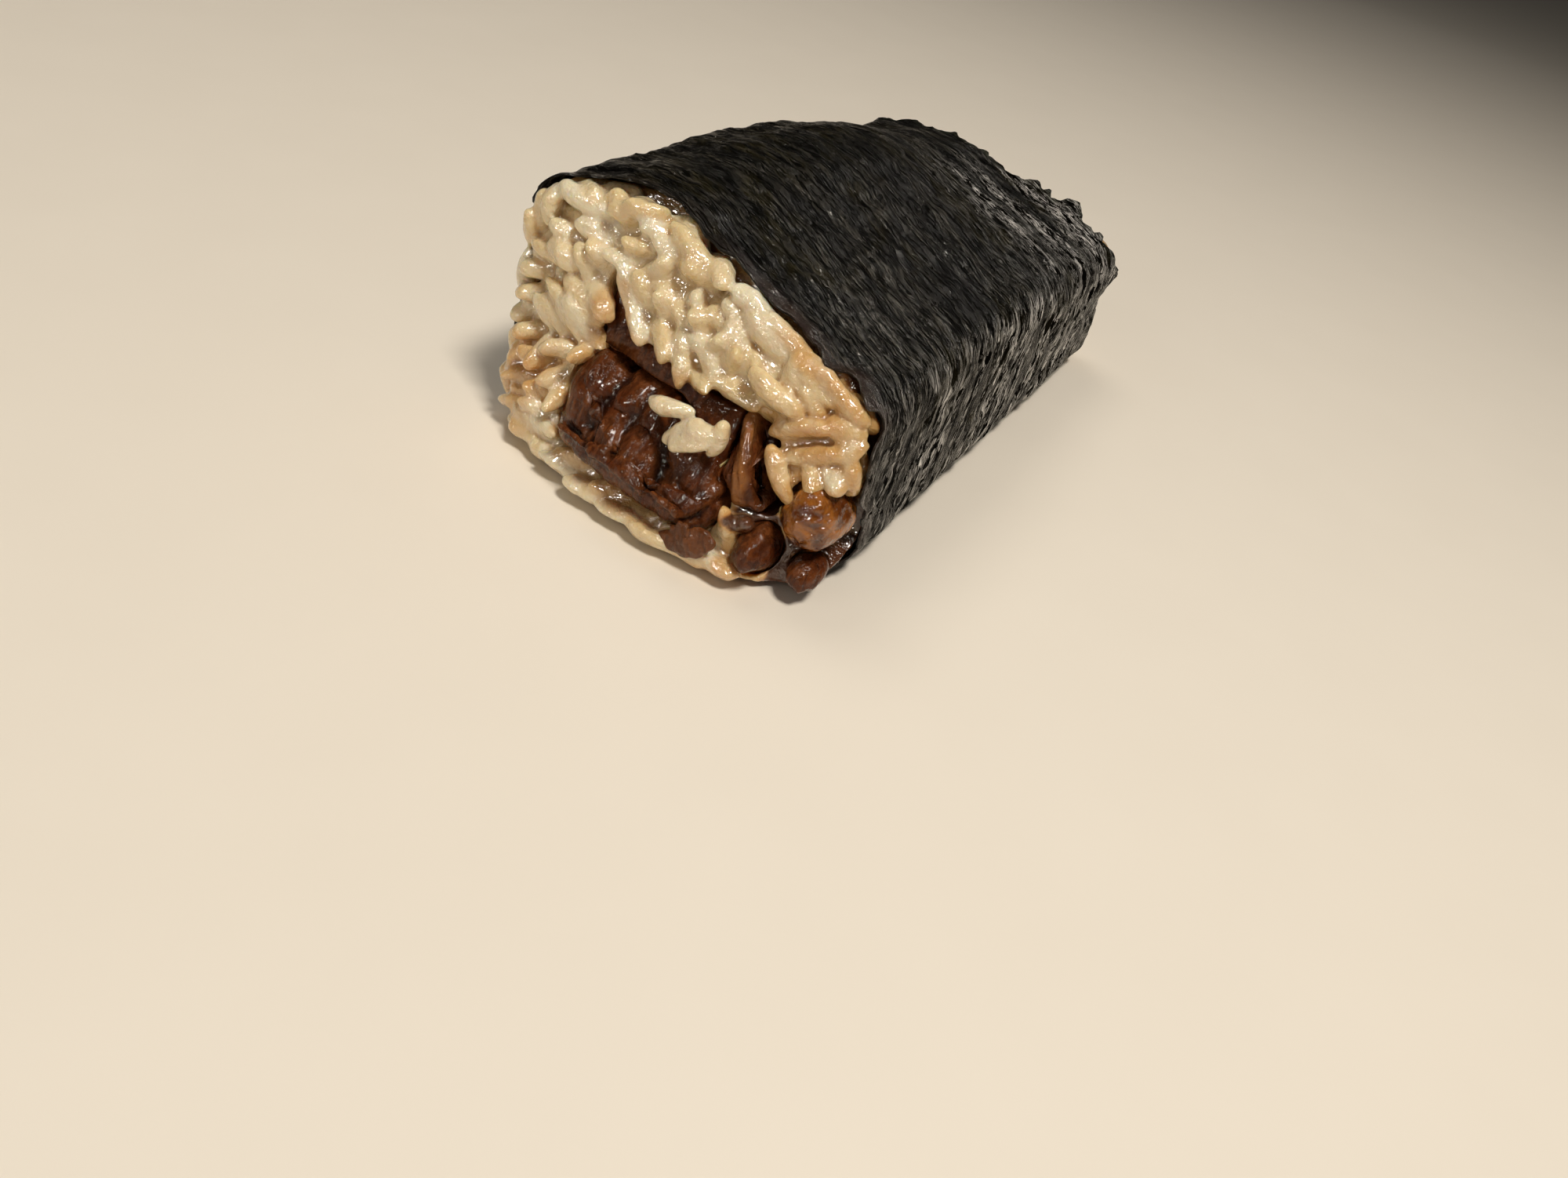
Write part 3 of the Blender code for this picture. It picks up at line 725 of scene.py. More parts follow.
def rice_finish():
    """Moist cooked rice: translucent cream, whiter on some grains, tan where sauce sits, with
    painted shade in its hollows, creases and recesses.
    """
    f = Finish(
        "rice_grains",
        IOR=1.5,
        Subsurface_Weight=0.75,
        Subsurface_Scale=0.0019,
        Subsurface_Radius=(1.0, 0.74, 0.42),
        Coat_Roughness=0.08,
        Coat_IOR=1.5,
        Coat_Weight=0.9,
    )
    here = f.place()
    tint, hollow, sauce = f.value("tint"), f.value("hollow"), f.value("sauce")
    cloud = f.noise(here, 380.0, 3.0, 0.55, 0.3)
    colour = f.mix(tint, RICE_CREAM, RICE_WHITE)
    colour = f.mix(cloud.between(0.5, 0.72) * 0.22, colour, RICE_CLOUD)
    # The sauce value also carries painted shade at the front, so stain and soak there stand
    # partly for shade
    stain = (sauce + cloud * 0.5 + hollow * 0.5 - 0.62).between(0.0, 0.65)
    colour = f.mix(stain * 0.85, colour, RICE_STAIN)
    soaked = (sauce + cloud + hollow * 0.6 - 0.85).between(0.62, 1.0)
    colour = f.mix(soaked * 0.7, colour, RICE_SOAKED)
    # Painted shade: nearly black sauce-brown where the sauce value passes 1, in recesses at the
    # front
    colour = f.mix((sauce - 1.0).between(0.1, 0.6), colour, RICE_PAINTED_SHADE)
    # Painted shade: hollows between grains darkened to tan, and fine creases darker still
    colour = f.mix(hollow * 0.55, colour, RICE_PAINTED_HOLLOW_SHADE)
    colour = f.mix(f.value("crease") * 0.25, colour, RICE_PAINTED_CREASE_SHADE)
    skin = f.noise(here, 900.0, 3.0, 0.6, 0.2)
    grit = f.noise(here, 2100.0, 2.0, 0.5, 0.2)
    normal = f.bump(cloud * 0.8 + skin * 0.7 + grit * 0.25, 0.0006, 0.9)
    return f.wear(Base_Color=colour, Roughness=0.07 + cloud * 0.12, Normal=normal)


BEEF_DARK = (0.019, 0.0038, 0.0012)
BEEF_MIDDLE = (0.086, 0.0200, 0.0050)
BEEF_LIGHT = (0.165, 0.050, 0.013)
BEEF_FAT = (0.27, 0.105, 0.03)
BEEF_PAINTED_HOLLOW_SHADE = (0.012, 0.004, 0.003)


def beef_finish():
    """Braised beef: red-brown, fibrous and wet with sauce, with shade painted into its hollows.
    """
    f = Finish(
        "braised_beef",
        IOR=1.42,
        Specular_IOR_Level=0.2,
        Subsurface_Weight=0.12,
        Subsurface_Scale=0.001,
        Subsurface_Radius=(1.0, 0.35, 0.2),
        Coat_Roughness=0.08,
        Coat_IOR=1.5,
        Coat_Weight=0.18,
    )
    here = f.place()
    fibres = f.noise(here, (1300.0, 700.0, 420.0), 4.0, 0.6, 0.8)
    patches = f.noise(here, 260.0, 3.0, 0.6, 0.4)
    drops = f.noise(here, 1100.0, 2.0, 0.5, 0.2)
    beads = f.noise(here, 2300.0, 2.0, 0.6, 0.2)
    colour = f.mix(patches.between(0.3, 0.7), BEEF_MIDDLE, BEEF_LIGHT)
    colour = f.mix((1 - fibres).between(0.4, 0.62) * 0.6, colour, BEEF_DARK)
    colour = f.mix(f.value("fat"), colour, BEEF_FAT)
    # Painted shade in the hollows
    colour = f.mix(f.value("hollow") * 0.85, colour, BEEF_PAINTED_HOLLOW_SHADE)
    normal = f.bump(fibres * 0.4 + patches * 0.6 + drops * 0.6 + beads * 0.25, 0.0006, 0.8)
    rough = 0.06 + (fibres - drops) * 0.15
    return f.wear(Base_Color=colour, Roughness=rough, Normal=normal)


GLAZE_DARK = (0.105, 0.026, 0.004)
GLAZE_LIGHT = (0.36, 0.125, 0.018)
GLAZE_PAINTED_HOLLOW_SHADE = (0.035, 0.009, 0.004)


def glaze_finish():
    """A lump under caramel-brown glaze, blistered and shiny, with shade painted into its
    hollows.
    """
    f = Finish(
        "caramel_glaze",
        IOR=1.45,
        Subsurface_Weight=0.3,
        Subsurface_Scale=0.0014,
        Subsurface_Radius=(1.0, 0.4, 0.15),
        Coat_Roughness=0.06,
        Coat_IOR=1.5,
        Coat_Weight=0.5,
    )
    here = f.place()
    clouds = f.noise(here, 330.0, 3.0, 0.6, 0.5)
    bubbles = f.noise(here, 900.0, 2.0, 0.5, 0.3)
    colour = f.mix(clouds.between(0.35, 0.65), GLAZE_DARK, GLAZE_LIGHT)
    # Painted shade in the hollows
    colour = f.mix(f.value("hollow") * 0.7, colour, GLAZE_PAINTED_HOLLOW_SHADE)
    normal = f.bump(clouds * 0.6 + bubbles * 1.1, 0.0007, 0.9)
    return f.wear(Base_Color=colour, Roughness=0.06 + clouds * 0.08, Normal=normal)


# The wrap

# Flakes that stand out from the far edge: how far round the section they sit (0 to 1
# from the seam), their width as a share of it, their length, and how far they curl
FAR_FLAKES = [
    (0.40, 0.020, 1.3, 0.3),
    (0.44, 0.022, 2.2, 0.4),
    (0.485, 0.060, 3.0, 0.4),
    (0.54, 0.018, 1.2, 0.6),
    (0.60, 0.034, 1.6, 0.5),
    (0.655, 0.040, 2.6, 1.1),
    (0.70, 0.036, 2.6, 1.3),
    (0.80, 0.032, 1.8, 0.7),
    (0.30, 0.045, 2.4, 0.9),
]
# Where the near edge is set back: its place round the section, its width and its depth
NEAR_SET_BACK = (0.425, 0.06, 1.2)


def wrap_edges(outer):
    """Where the sheet starts and ends along Y at each point of its outline."""
    u = np.linspace(0, 1, len(outer))
    line = np.stack([u * SHEET_ROUND, np.zeros_like(u), np.zeros_like(u)], axis=1)
    torn = 1.3 + 0.9 * ramp(outer[:, 0], -4.0, 12.0)
    near = -HALF_LENGTH + torn * layered_noise(line, 3.0, 4, 5)
    hug = 0.95 * ramp(outer[:, 0], -25.0, -12.0) * ramp(outer[:, 1], 8.0, 16.0)
    near -= hug * front_reach(outer[:, 0], outer[:, 1])
    centre, width, depth = NEAR_SET_BACK
    near += depth * ramp(1 - np.abs(u - centre) / width, 0.0, 1.0)
    far = HALF_LENGTH - 0.4 + 1.9 * layered_noise(line, 3.0, 4, 9)
    far += 1.6 * ramp(smooth_noise(line, 1.7, 15), 0.25, 0.85)
    ragged = 1 + 0.5 * layered_noise(line, 1.6, 2, 13)
    for at, width, length, _ in FAR_FLAKES:
        far += length * ramp(-np.abs(u - at) / width, -0.5, -0.12) * ragged
    return near, far


def wrap_section(count):
    """The sheet's outer outline, its outward directions and where it lies double."""
    outer = rounded_path(WRAP_CORNERS, count, closed=False)
    first_part = np.arange(count) < count / 4
    double = first_part & (outer[:, 0] > SEAM_UNDER_X) & (outer[:, 1] < 1.0)
    return outer, outward(outer, closed=False), double


def wrap_relief(u, y, flat, slanted, from_near, from_far):
    """How far the sheet stands off the block: lumps, wrinkles, pits and curled edges."""
    wave = 0.25 + 0.25 * smooth_noise(flat, 9.0, 1)
    lumps = 0.30 * smooth_noise(flat, 4.6, 2)
    warped = slanted + 1.6 * smooth_noise(slanted, 5.0, 6)[:, None]
    wrinkles = 0.13 * folded_noise(warped, (6.0, 2.6, 5.0), 3)
    crinkles = 0.06 * folded_noise(warped, (3.0, 1.4, 5.0), 4)
    pits = 0.22 * ramp(smooth_noise(slanted, (3.2, 1.7, 5.0), 7), 0.42, 0.62)
    lift = wave + lumps + wrinkles + crinkles - pits
    lift = lift * ramp(flat[:, 2], 0.6, 4.0)
    lift = np.maximum(lift, -0.28 * ramp(np.minimum(from_near, from_far), 3.0, 8.0))
    curl = np.zeros_like(y)
    for at, width, length, bend in FAR_FLAKES:
        shape = np.clip(1 - np.abs(u - at) / width, 0, 1)[None]
        curl += bend * shape * ramp(y, HALF_LENGTH - 1.5, HALF_LENGTH + length)
    off_table = ramp(flat[:, 2], 2.0, 6.0)
    rim = ramp(-from_near, -1.6, 0.0)
    return lift + curl.ravel() * off_table + 0.3 * rim * off_table


def wrap_marks(flat, sheet, slanted, wall, from_near, from_far):
    """Where the sheet is wet with sauce, thin along its torn edges, and where a pale sheen is
    painted on.
    """
    speckle = smooth_noise(sheet, 2.4, 8)
    right = ramp(flat[:, 0], -2.0, 12.0)
    wet = ramp(-from_near, -4.2 - 1.5 * speckle, -0.4) * (0.25 + 0.75 * right)
    thin = ramp(-np.minimum(from_far, from_near + 2.0), -2.2 + speckle, -0.1)
    # Painted sheen: pale streaks on the side wall, weaker towards the front, and on the far
    # part of the top, standing in for reflected light
    streaks = smooth_noise(slanted, (14.0, 2.2, 5.0), 10)
    wall = wall * (0.4 + 0.6 * ramp(flat[:, 1], -44.0, -20.0))
    far_top = 0.95 * ramp(flat[:, 1], 0.0, 30.0) * ramp(flat[:, 0], -8.0, 8.0)
    painted_sheen = np.clip(np.maximum(wall, far_top) * (0.85 + 1.0 * streaks), 0, 1)
    return wet, thin, painted_sheen


def build_nori(material):
    """One sheet wound round the block, with the rice's lumps, fibres and torn edges."""
    outer, normals, double = wrap_section(NORI_COLUMNS + 1)
    u = np.arange(NORI_COLUMNS + 1) / NORI_COLUMNS
    near, far = wrap_edges(outer)
    y = near[None] + (far - near)[None] * np.linspace(0, 1, NORI_ROWS + 1)[:, None]
    total = y.size

    def in_rows(numbers):
        return np.broadcast_to(numbers, y.shape).ravel()

    flat = np.stack([in_rows(outer[:, 0]), y.ravel(), in_rows(outer[:, 1])], axis=1)
    sheet = np.stack([in_rows(u * SHEET_ROUND), y.ravel(), np.zeros(total)], axis=1)
    slanted = sheet + sheet[:, :1] * (0.0, FIBRE_SLANT, 0.0)
    crossed = sheet - sheet[:, :1] * (0.0, CROSS_SLANT, 0.0)
    from_near, from_far = (y - near).ravel(), (far - y).ravel()
    lift = wrap_relief(u, y, flat, slanted, from_near, from_far)
    nx, nz = in_rows(normals[:, 0]), in_rows(normals[:, 1])

    def surface(offset):
        x, z = flat[:, 0] + nx * offset, flat[:, 2] + nz * offset
        return np.stack([x, flat[:, 1], z * crown(x, flat[:, 1])], axis=1)

    thick = in_rows(np.where(double, SHEET + SEAM_STEP, SHEET))
    points = np.concatenate([surface(lift), surface(lift - thick)])
    at = np.arange(total).reshape(y.shape)
    a, b, c, d = at[:-1, :-1], at[:-1, 1:], at[1:, 1:], at[1:, :-1]
    sides = quads(a, b, c, d), quads(a + total, d + total, c + total, b + total)
    faces = [face for pair in zip(*sides) for face in pair]
    rims = [(at[end, :-1], at[end, 1:]) for end in (0, -1)]
    rims += [(at[:-1, end], at[1:, end]) for end in (0, -1)]
    for a, b in rims:
        faces += quads(a, b, b + total, a + total)

    # The side wall facing +X, where a sheen is painted
    wall = in_rows(ramp(normals[:, 0], 0.55, 0.95))
    wet, thin, painted_sheen = wrap_marks(flat, sheet, slanted, wall, from_near, from_far)
    both_sides = {
        "sheet": (slanted, slanted + INNER_SIDE),
        "crossed": (crossed, crossed + INNER_SIDE),
        "wet": (wet, wet),
        "thin": (thin, thin),
        # The painted sheen lies on the outer side only
        "painted_sheen": (painted_sheen, painted_sheen * 0),
    }
    values = {key: np.concatenate(pair) for key, pair in both_sides.items()}
    return add_mesh("nori_wrap", points, faces, material, values)


# Beef


DENT_DEPTH = 0.4


def ripple(path, y):
    """How deep a slice's side is dented."""
    return DENT_DEPTH * np.maximum(smooth_noise(at_depth(path, y * 0.7), 6.0, 31), 0.0)


def beef_rings(corners, columns, edge, ends, grow=0.0, steps=14, centred=False):
    """Rings of a slice that runs through, with rounded ends; grow swells it evenly."""
    base = rounded_path(corners[::-1], columns, closed=True)
    normals = outward(base, closed=True)
    centre = base.mean(0)

    def ring_at(inset, y):
        dent = 0.0 if grow else ripple(base, y)
        path = base + normals * np.reshape(grow - inset - dent, (-1, 1))
        return at_depth(path, y)

    def end_ring(angle, front):
        back = edge * (1 - math.cos(angle)) - ends[0 if front else 1]
        y = face_y(base[:, 0], base[:, 1], front) + (back if front else -back)
        return ring_at(edge * (1 - math.sin(angle)), y)

    turns = np.radians(np.linspace(10, 90, steps))
    fronts = [end_ring(a, True) for a in turns]
    backs = [end_ring(a, False) for a in turns[::-1]]
    if centred:
        fronts = closing_rings(fronts[0], centre, True) + fronts
        backs = backs + closing_rings(backs[-1], centre, False)[::-1]
    front_y, back_y = fronts[-1][:, 1].max(), backs[0][:, 1].min()
    between = np.linspace(front_y + 0.8, back_y - 0.8, 12 if grow else 90)
    return fronts + [ring_at(0.0, y) for y in between] + backs


def closing_rings(ring, centre, front):
    """Rings that carry on inwards over the end face, so that it can be shaped."""
    rings = []
    for share in np.linspace(0.02, 0.97, 34):
        x = centre[0] + (ring[:, 0] - centre[0]) * share
        z = centre[1] + (ring[:, 2] - centre[1]) * share
        offset = ring[:, 1] - face_y(ring[:, 0], ring[:, 2], front)
        swell = 0.9 * (1 - share**2)
        y = face_y(x, z, front) + offset.mean() * (1 - share) + offset * share
        y += -swell if front else swell
        rings.append(np.stack([x, y, z], axis=1))
    return rings


def finish_beef(obj, rounds, low, high, fat):
    """Notes the hollows of a piece of beef, where its finish paints shade, and its fat at its
    points.
    """
    set_value(obj.data, "hollow", ramp(hollows(obj.data, rounds), low, high))
    set_value(obj.data, "fat", fat)


def build_through_beef(name, rings, material, relief, fat):
    """A slice that runs through, with its relief full near the ends."""
    obj = add_mesh(name, *loft(rings), material)
    at = read_points(obj.data)
    near_end = np.maximum(ramp(-at[:, 1], 30, 42), ramp(at[:, 1], 30, 42))
    height = relief(at) * (0.25 + 0.75 * near_end)
    write_points(obj.data, at + read_normals(obj.data) * height[:, None])
    finish_beef(obj, 6, 0.02, 0.22, fat(at))
    return obj


# Creases and ridges of the roll's front end: a line across the face, its height (less
# than nothing for a crease) and its width
ROLL_FOLDS = [
    ([(-6.0, 17.0), (-4.9, 15.2), (-5.3, 13.4), (-6.5, 11.4), (-6.8, 9.2)], -1.0, 0.75),
    ([(-8.8, 14.6), (-9.9, 12.0), (-9.6, 9.4)], 0.45, 1.5),
    ([(-3.4, 15.2), (-3.5, 12.3), (-3.2, 9.0)], 0.45, 1.1),
    ([(-1.3, 14.9), (-1.6, 12.0), (-1.7, 8.9)], -0.65, 0.6),
    ([(0.7, 14.4), (0.8, 11.4), (0.9, 8.6)], 0.5, 1.1),
    ([(2.9, 15.2), (3.0, 12.0), (3.9, 9.3), (4.6, 7.0)], -1.0, 0.7),
    ([(-9.6, 7.4), (-4.5, 7.5), (-1.0, 7.2), (2.3, 6.7), (5.1, 5.9)], -0.55, 0.6),
    ([(4.9, 7.2), (6.2, 6.2), (8.5, 5.8), (10.4, 6.8), (11.6, 9.0), (11.2, 11.6)], -0.75, 0.55),
    ([(6.4, 9.6), (7.4, 8.3), (9.1, 8.4), (9.9, 10.0)], -0.35, 0.5),
    ([(5.6, 11.8), (8.0, 11.0), (10.2, 12.0)], 0.35, 0.9),
]


def line_distance(points, line):
    """How far 2-D points lie from an open line."""
    line = np.array(line)
    best = np.full(len(points), 99.0)
    for a, b in zip(line[:-1], line[1:]):
        rel, edge = points - a, b - a
        share = np.clip(rel @ edge / (edge @ edge), 0, 1)
        best = np.minimum(best, np.linalg.norm(rel - share[:, None] * edge, axis=1))
    return best


def roll_relief(at):
    """Folds of the rolled slice: creases placed as they lie, and finer wrinkles."""
    flat = at[:, [0, 2]] + 0.5 * smooth_noise(at, 2.4, 46)[:, None]
    height = np.zeros(len(at))
    for line, strength, width in ROLL_FOLDS:
        height += strength * np.exp(-((line_distance(flat, line) / width) ** 2))
    height += 0.5 * np.exp(-((flat[:, 0] - 8.2) ** 2 / 8 + (flat[:, 1] - 9.6) ** 2 / 6))
    grain = turned(at, 0.95, 0.31)
    warped = grain + smooth_noise(at, 4.0, 41)[:, None] * (0.8, 0.0, 0.3)
    folds = folded_noise(warped, (1.9, 4.0, 5.5), 42)
    small = folded_noise(warped, (0.9, 2.0, 2.6), 43)
    fine = smooth_noise(grain, (0.5, 1.0, 1.2), 45)
    front = ramp(-at[:, 1], 36, 46)
    return height * front + 0.24 * folds + 0.12 * small + 0.05 * fine - 0.1


def slice_relief(at):
    """Folds along the thin upper slice."""
    folds = folded_noise(at, (3.4, 4.0, 1.5), 52)
    small = smooth_noise(at, (1.4, 2.0, 0.8), 53)
    return 0.16 * folds + 0.09 * small - 0.12


# Lines down the side slice: its streak of fat, and the hollow beside it
SIDE_STREAK = [(10.9, 18.0), (11.7, 15.3), (12.7, 12.5), (13.2, 9.4)]
SIDE_HOLLOW = [(13.4, 19.0), (14.9, 15.2), (17.0, 10.4)]


def side_relief(at):
    """Folds of the side slice, its streak of fat and the hollow beside it."""
    flat = at[:, [0, 2]]
    grain = turned(at, 0.93, 0.36)
    folds = folded_noise(grain, (1.0, 3.0, 5.0), 62)
    small = smooth_noise(grain, (0.5, 1.2, 1.8), 63)
    streak = np.exp(-((line_distance(flat, SIDE_STREAK) / 0.9) ** 2))
    in_hollow = ramp(-line_distance(flat, SIDE_HOLLOW), -2.4, -0.8)
    sunk = 2.6 * in_hollow * ramp(-at[:, 1], 46, 49)
    return 0.22 * folds + 0.10 * small + 0.5 * streak - sunk - 0.1


def no_fat(at):
    return np.zeros(len(at))


def side_fat(at):
    """A streak of fat down the side slice."""
    away = line_distance(at[:, [0, 2]], SIDE_STREAK) + 0.4 * smooth_noise(at, 1.5, 64)
    return ramp(-away, -1.1, -0.2)


# How strongly the lumps are knobbed
LUMP_RELIEF = 0.30


def build_lump(name, centre, half, material, seed):
    """A nugget of beef, knobbly all over."""
    ball, faces = round_ball(6)
    at = ball * np.array(half)
    knobs = layered_noise(at + np.array(centre), 2.6, 3, seed)
    creases = folded_noise(at + np.array(centre), (1.6, 2.4, 2.8), seed + 5)
    scale = 1 + LUMP_RELIEF * (0.55 * knobs + 0.12 * creases - 0.12)
    obj = add_mesh(name, np.array(centre) + at * scale[:, None], faces, material)
    finish_beef(obj, 10, 0.01, 0.12, no_fat(at))
    return obj


# The torn end of the roll: its middle, half its size and its turn in radians
FLAP_PLACE = (10.3, -57.4, 4.3)
FLAP_HALF = (3.7, 0.7, 1.9)
FLAP_TURN = 0.30


def add_flap(obj):
    """A torn end of the roll that hangs at its lower right."""
    ball, faces = round_ball(5)
    at = turned(ball * np.array(FLAP_HALF), math.cos(FLAP_TURN), -math.sin(FLAP_TURN))
    at = at + unit(at) * 1.3 * layered_noise(at, 1.9, 3, 66)[:, None] * (1, 0.4, 1)
    flap = add_mesh("flap", at + np.array(FLAP_PLACE), faces, None)
    finish_beef(flap, 8, 0.01, 0.15, np.full(len(at), 0.15))
    merge((obj, flap), obj.data)
    bpy.data.objects.remove(flap, do_unlink=True)


# The slices that run through: outline, points round it, how round its ends are, how far
# they stand out at the front and the far end, whether they are domed, relief and fat
THROUGH_BEEF = {
    "beef_roll": (ROLL, 150, 4.5, (2.2, 1.2), True, roll_relief, no_fat),
    "beef_upper_slice": (UPPER_SLICE, 160, 0.5, (-1.0, 0.0), False, slice_relief, no_fat),
    "beef_side_slice": (SIDE_SLICE, 100, 1.0, (0.0, 0.6), True, side_relief, side_fat),
}
# How far the channels for them are cut past the block's ends
CUT_PAST = 6.0


def build_beef(beef, glaze):
    """Every piece of beef, with its node and its slot."""
    made = []
    for node, row in THROUGH_BEEF.items():
        corners, columns, edge, ends, domed, relief, fat = row
        rings = beef_rings(corners, columns, edge, ends, centred=domed)
        obj = build_through_beef(node + "_meat", rings, beef, relief, fat)
        made.append((obj, node, "beef"))
    add_flap(made[0][0])
    for k, (node, (centre, half)) in enumerate(LUMPS.items()):
        glazed = node == "beef_glazed_lump"
        material = glaze if glazed else beef
        obj = build_lump(node + "_meat", centre, half, material, 71 + 9 * k)
        made.append((obj, node, "glaze" if glazed else "beef"))
    return made


def channel_cutters():
    """The room that the rice leaves for the beef, open at both ends of the block."""
    channels = bpy.data.collections.new("channels")
    bpy.context.scene.collection.children.link(channels)
    bodies = []
    for corners, *_ in THROUGH_BEEF.values():
        rings = beef_rings(corners, 60, 0.1, (CUT_PAST, CUT_PAST), grow=GAP, steps=2)
        bodies.append(loft(rings))
    for centre, half in LUMPS.values():
        ball, faces = round_ball(3)
        bodies.append((np.array(centre) + ball * (np.array(half) + GAP), faces))
    for points, faces in bodies:
        obj = add_mesh("channel", points, faces, None)
        bpy.context.scene.collection.objects.unlink(obj)
        channels.objects.link(obj)
    return channels


# Rice


class Grains:
    """A heap of grains: middles, long axes, lengths, widths, and which ones stay put."""

    def __init__(self, middles, axes, lengths, fixed, seed):
        draw = np.random.default_rng(seed)
        count = len(middles)
        self.middle = np.array(middles, float)
        self.axis = unit(np.array(axes, float))
        self.length = np.array(lengths, float)
        self.fixed = np.array(fixed, bool)
        self.width = GRAIN_WIDTH * draw.uniform(0.84, 1.14, count)
        self.thick = GRAIN_THICKNESS * draw.uniform(0.90, 1.10, count)
        self.bend = draw.uniform(0.1, 0.55, count)
        self.roll = draw.uniform(0, math.tau, count)
        self.blunt = draw.uniform(-0.18, 0.18, count)
        self.tip = draw.uniform(2.0, 3.6, count)
        self.tint = draw.uniform(0.0, 1.0, count)

    def keep(self, chosen):
        for key, value in vars(self).items():
            setattr(self, key, value[chosen])
        return self


def nearest_on_rods(p, u, a, q, v, b):
    """Where two rods pass closest, as distances along each from its middle."""
    gap = p - q
    uv = (u * v).sum(1)
    du, dv = (u * gap).sum(1), (v * gap).sum(1)
    s = np.clip((uv * dv - du) / np.maximum(1 - uv * uv, 1e-3), -a, a)
    t = np.clip(dv + s * uv, -b, b)
    s = np.clip(t * uv - du, -a, a)
    return s, t


def settle(grains, front, outline, holes):
    """Lets grains push each other apart until they lie packed on the end face."""
    reach = np.maximum(grains.length / 2 - grains.thick * 0.4, 0.6)
    radius = (grains.width + grains.thick) / 4
    half = grains.axis * reach[:, None]
    tips = [grains.middle - half, grains.middle + half]
    movable = np.where(grains.fixed, 0.0, 1.0)
    first, second = np.triu_indices(len(radius), 1)
    sign = 1.0 if front else -1.0
    depth = []
    for tip in tips:
        behind = sign * (tip[:, 1] - face_y(tip[:, 0], tip[:, 2], front))
        depth.append(np.clip(behind, -1.0, 2.4))
    for step in range(SETTLE_ROUNDS):
        middle = (tips[0] + tips[1]) / 2
        axis = unit(tips[1] - tips[0])
        if step % 5 == 0:
            far = np.linalg.norm(middle[first] - middle[second], axis=1)
            close = far < reach[first] + reach[second] + radius[first] + radius[second] + 1
            i, j = first[close], second[close]
        s, t = nearest_on_rods(middle[i], axis[i], reach[i], middle[j], axis[j], reach[j])
        apart = middle[i] + axis[i] * s[:, None] - middle[j] - axis[j] * t[:, None]
        gap = np.linalg.norm(apart, axis=1)
        press = np.maximum((radius[i] + radius[j]) * CLOSENESS - gap, 0) * EASE
        push = unit(apart) * press[:, None]
        push[:, 1] *= 0.7
        moves = [np.zeros_like(middle), np.zeros_like(middle)]
        for who, share, way in ((i, s / reach[i], 1.0), (j, t / reach[j], -1.0)):
            for k, weight in ((0, (1 - share) / 2), (1, (1 + share) / 2)):
                part = push * (way * weight * movable[who])[:, None]
                for c in range(3):
                    moves[k][:, c] += np.bincount(who, part[:, c], len(radius))
        for k in (0, 1):
            length = np.linalg.norm(moves[k], axis=1, keepdims=True)
            share = np.minimum(1.0, LONGEST_MOVE / np.maximum(length, 1e-9))
            tips[k] = tips[k] + moves[k] * share
            tips[k] = hold_tip(tips[k], depth[k], radius, movable, front, outline, holes)
        middle = (tips[0] + tips[1]) / 2
        axis = unit(tips[1] - tips[0])
        tips = [middle - axis * reach[:, None], middle + axis * reach[:, None]]
    grains.middle = (tips[0] + tips[1]) / 2
    grains.axis = unit(tips[1] - tips[0])
    return grains


def hold_tip(tip, depth, radius, movable, front, outline, holes):
    """Keeps a grain's tip inside the wrap, off the beef and near the face."""
    sign = 1.0 if front else -1.0
    flat = tip[:, [0, 2]]
    out, way = outline_distance(flat, outline)
    shift = -way * np.maximum(out + radius * WRAP_CLEAR, 0)[:, None] * BACK_INSIDE
    for hole in holes:
        out, way = outline_distance(flat, hole)
        shift += way * np.maximum(radius * BEEF_CLEAR - out, 0)[:, None] * OFF_BEEF
    tip = tip.copy()
    tip[:, [0, 2]] += shift * movable[:, None]
    goal = face_y(tip[:, 0], tip[:, 2], front) + sign * depth
    tip[:, 1] += (goal - tip[:, 1]) * TO_DEPTH * movable
    return tip


def shown_grains():
    """The grains placed one by one at the front."""
    rows = np.array(SHOWN_GRAINS, float)
    x, z, length = rows[:, 0], rows[:, 1], rows[:, 2]
    turn, lean = np.radians(rows[:, 3]), np.radians(rows[:, 4])
    y = face_y(x, z, True) - SHOWN_LIFT
    flat = np.cos(lean)
    axis = np.stack([flat * np.cos(turn), np.sin(lean), flat * np.sin(turn)], axis=1)
    return np.stack([x, y, z], axis=1), axis, length


def inside_wrap(count, sheet, inset):
    """The outline inside a sheet of the given thickness, set in a little further."""
    outer, normals, double = wrap_section(count)
    depth = sheet + np.where(double, SEAM_STEP, 0) + inset
    return (outer - normals * depth[:, None])[:-1]


def end_outline(front, inset):
    """The outline of the rice at one end of the wrap."""
    inner = inside_wrap(121, SOLID_SHEET, inset)
    return place(inner, -HALF_LENGTH if front else HALF_LENGTH)[:, [0, 2]]


def core_path():
    """The outline of the rice's core, just inside the wrap."""
    return inside_wrap(97, SHEET, 0.08)


def beef_outlines(lumps):
    """Outlines on the end face of the slices, and of the lumps of the given names."""
    slices = (ROLL, UPPER_SLICE, SIDE_SLICE)
    outlines = [rounded_path(corners[::-1], 40, closed=True) for corners in slices]
    turn = np.arange(16) * math.tau / 16
    for centre, half in (LUMPS[name] for name in lumps):
        x, z = centre[0] + half[0] * np.cos(turn), centre[2] + half[2] * np.sin(turn)
        outlines.append(np.stack([x, z], axis=1))
    return outlines


def lying(turn, lean):
    """The direction of a grain's length, from its turn in the face and its lean."""
    flat = math.cos(lean)
    return flat * math.cos(turn), math.sin(lean), flat * math.sin(turn)


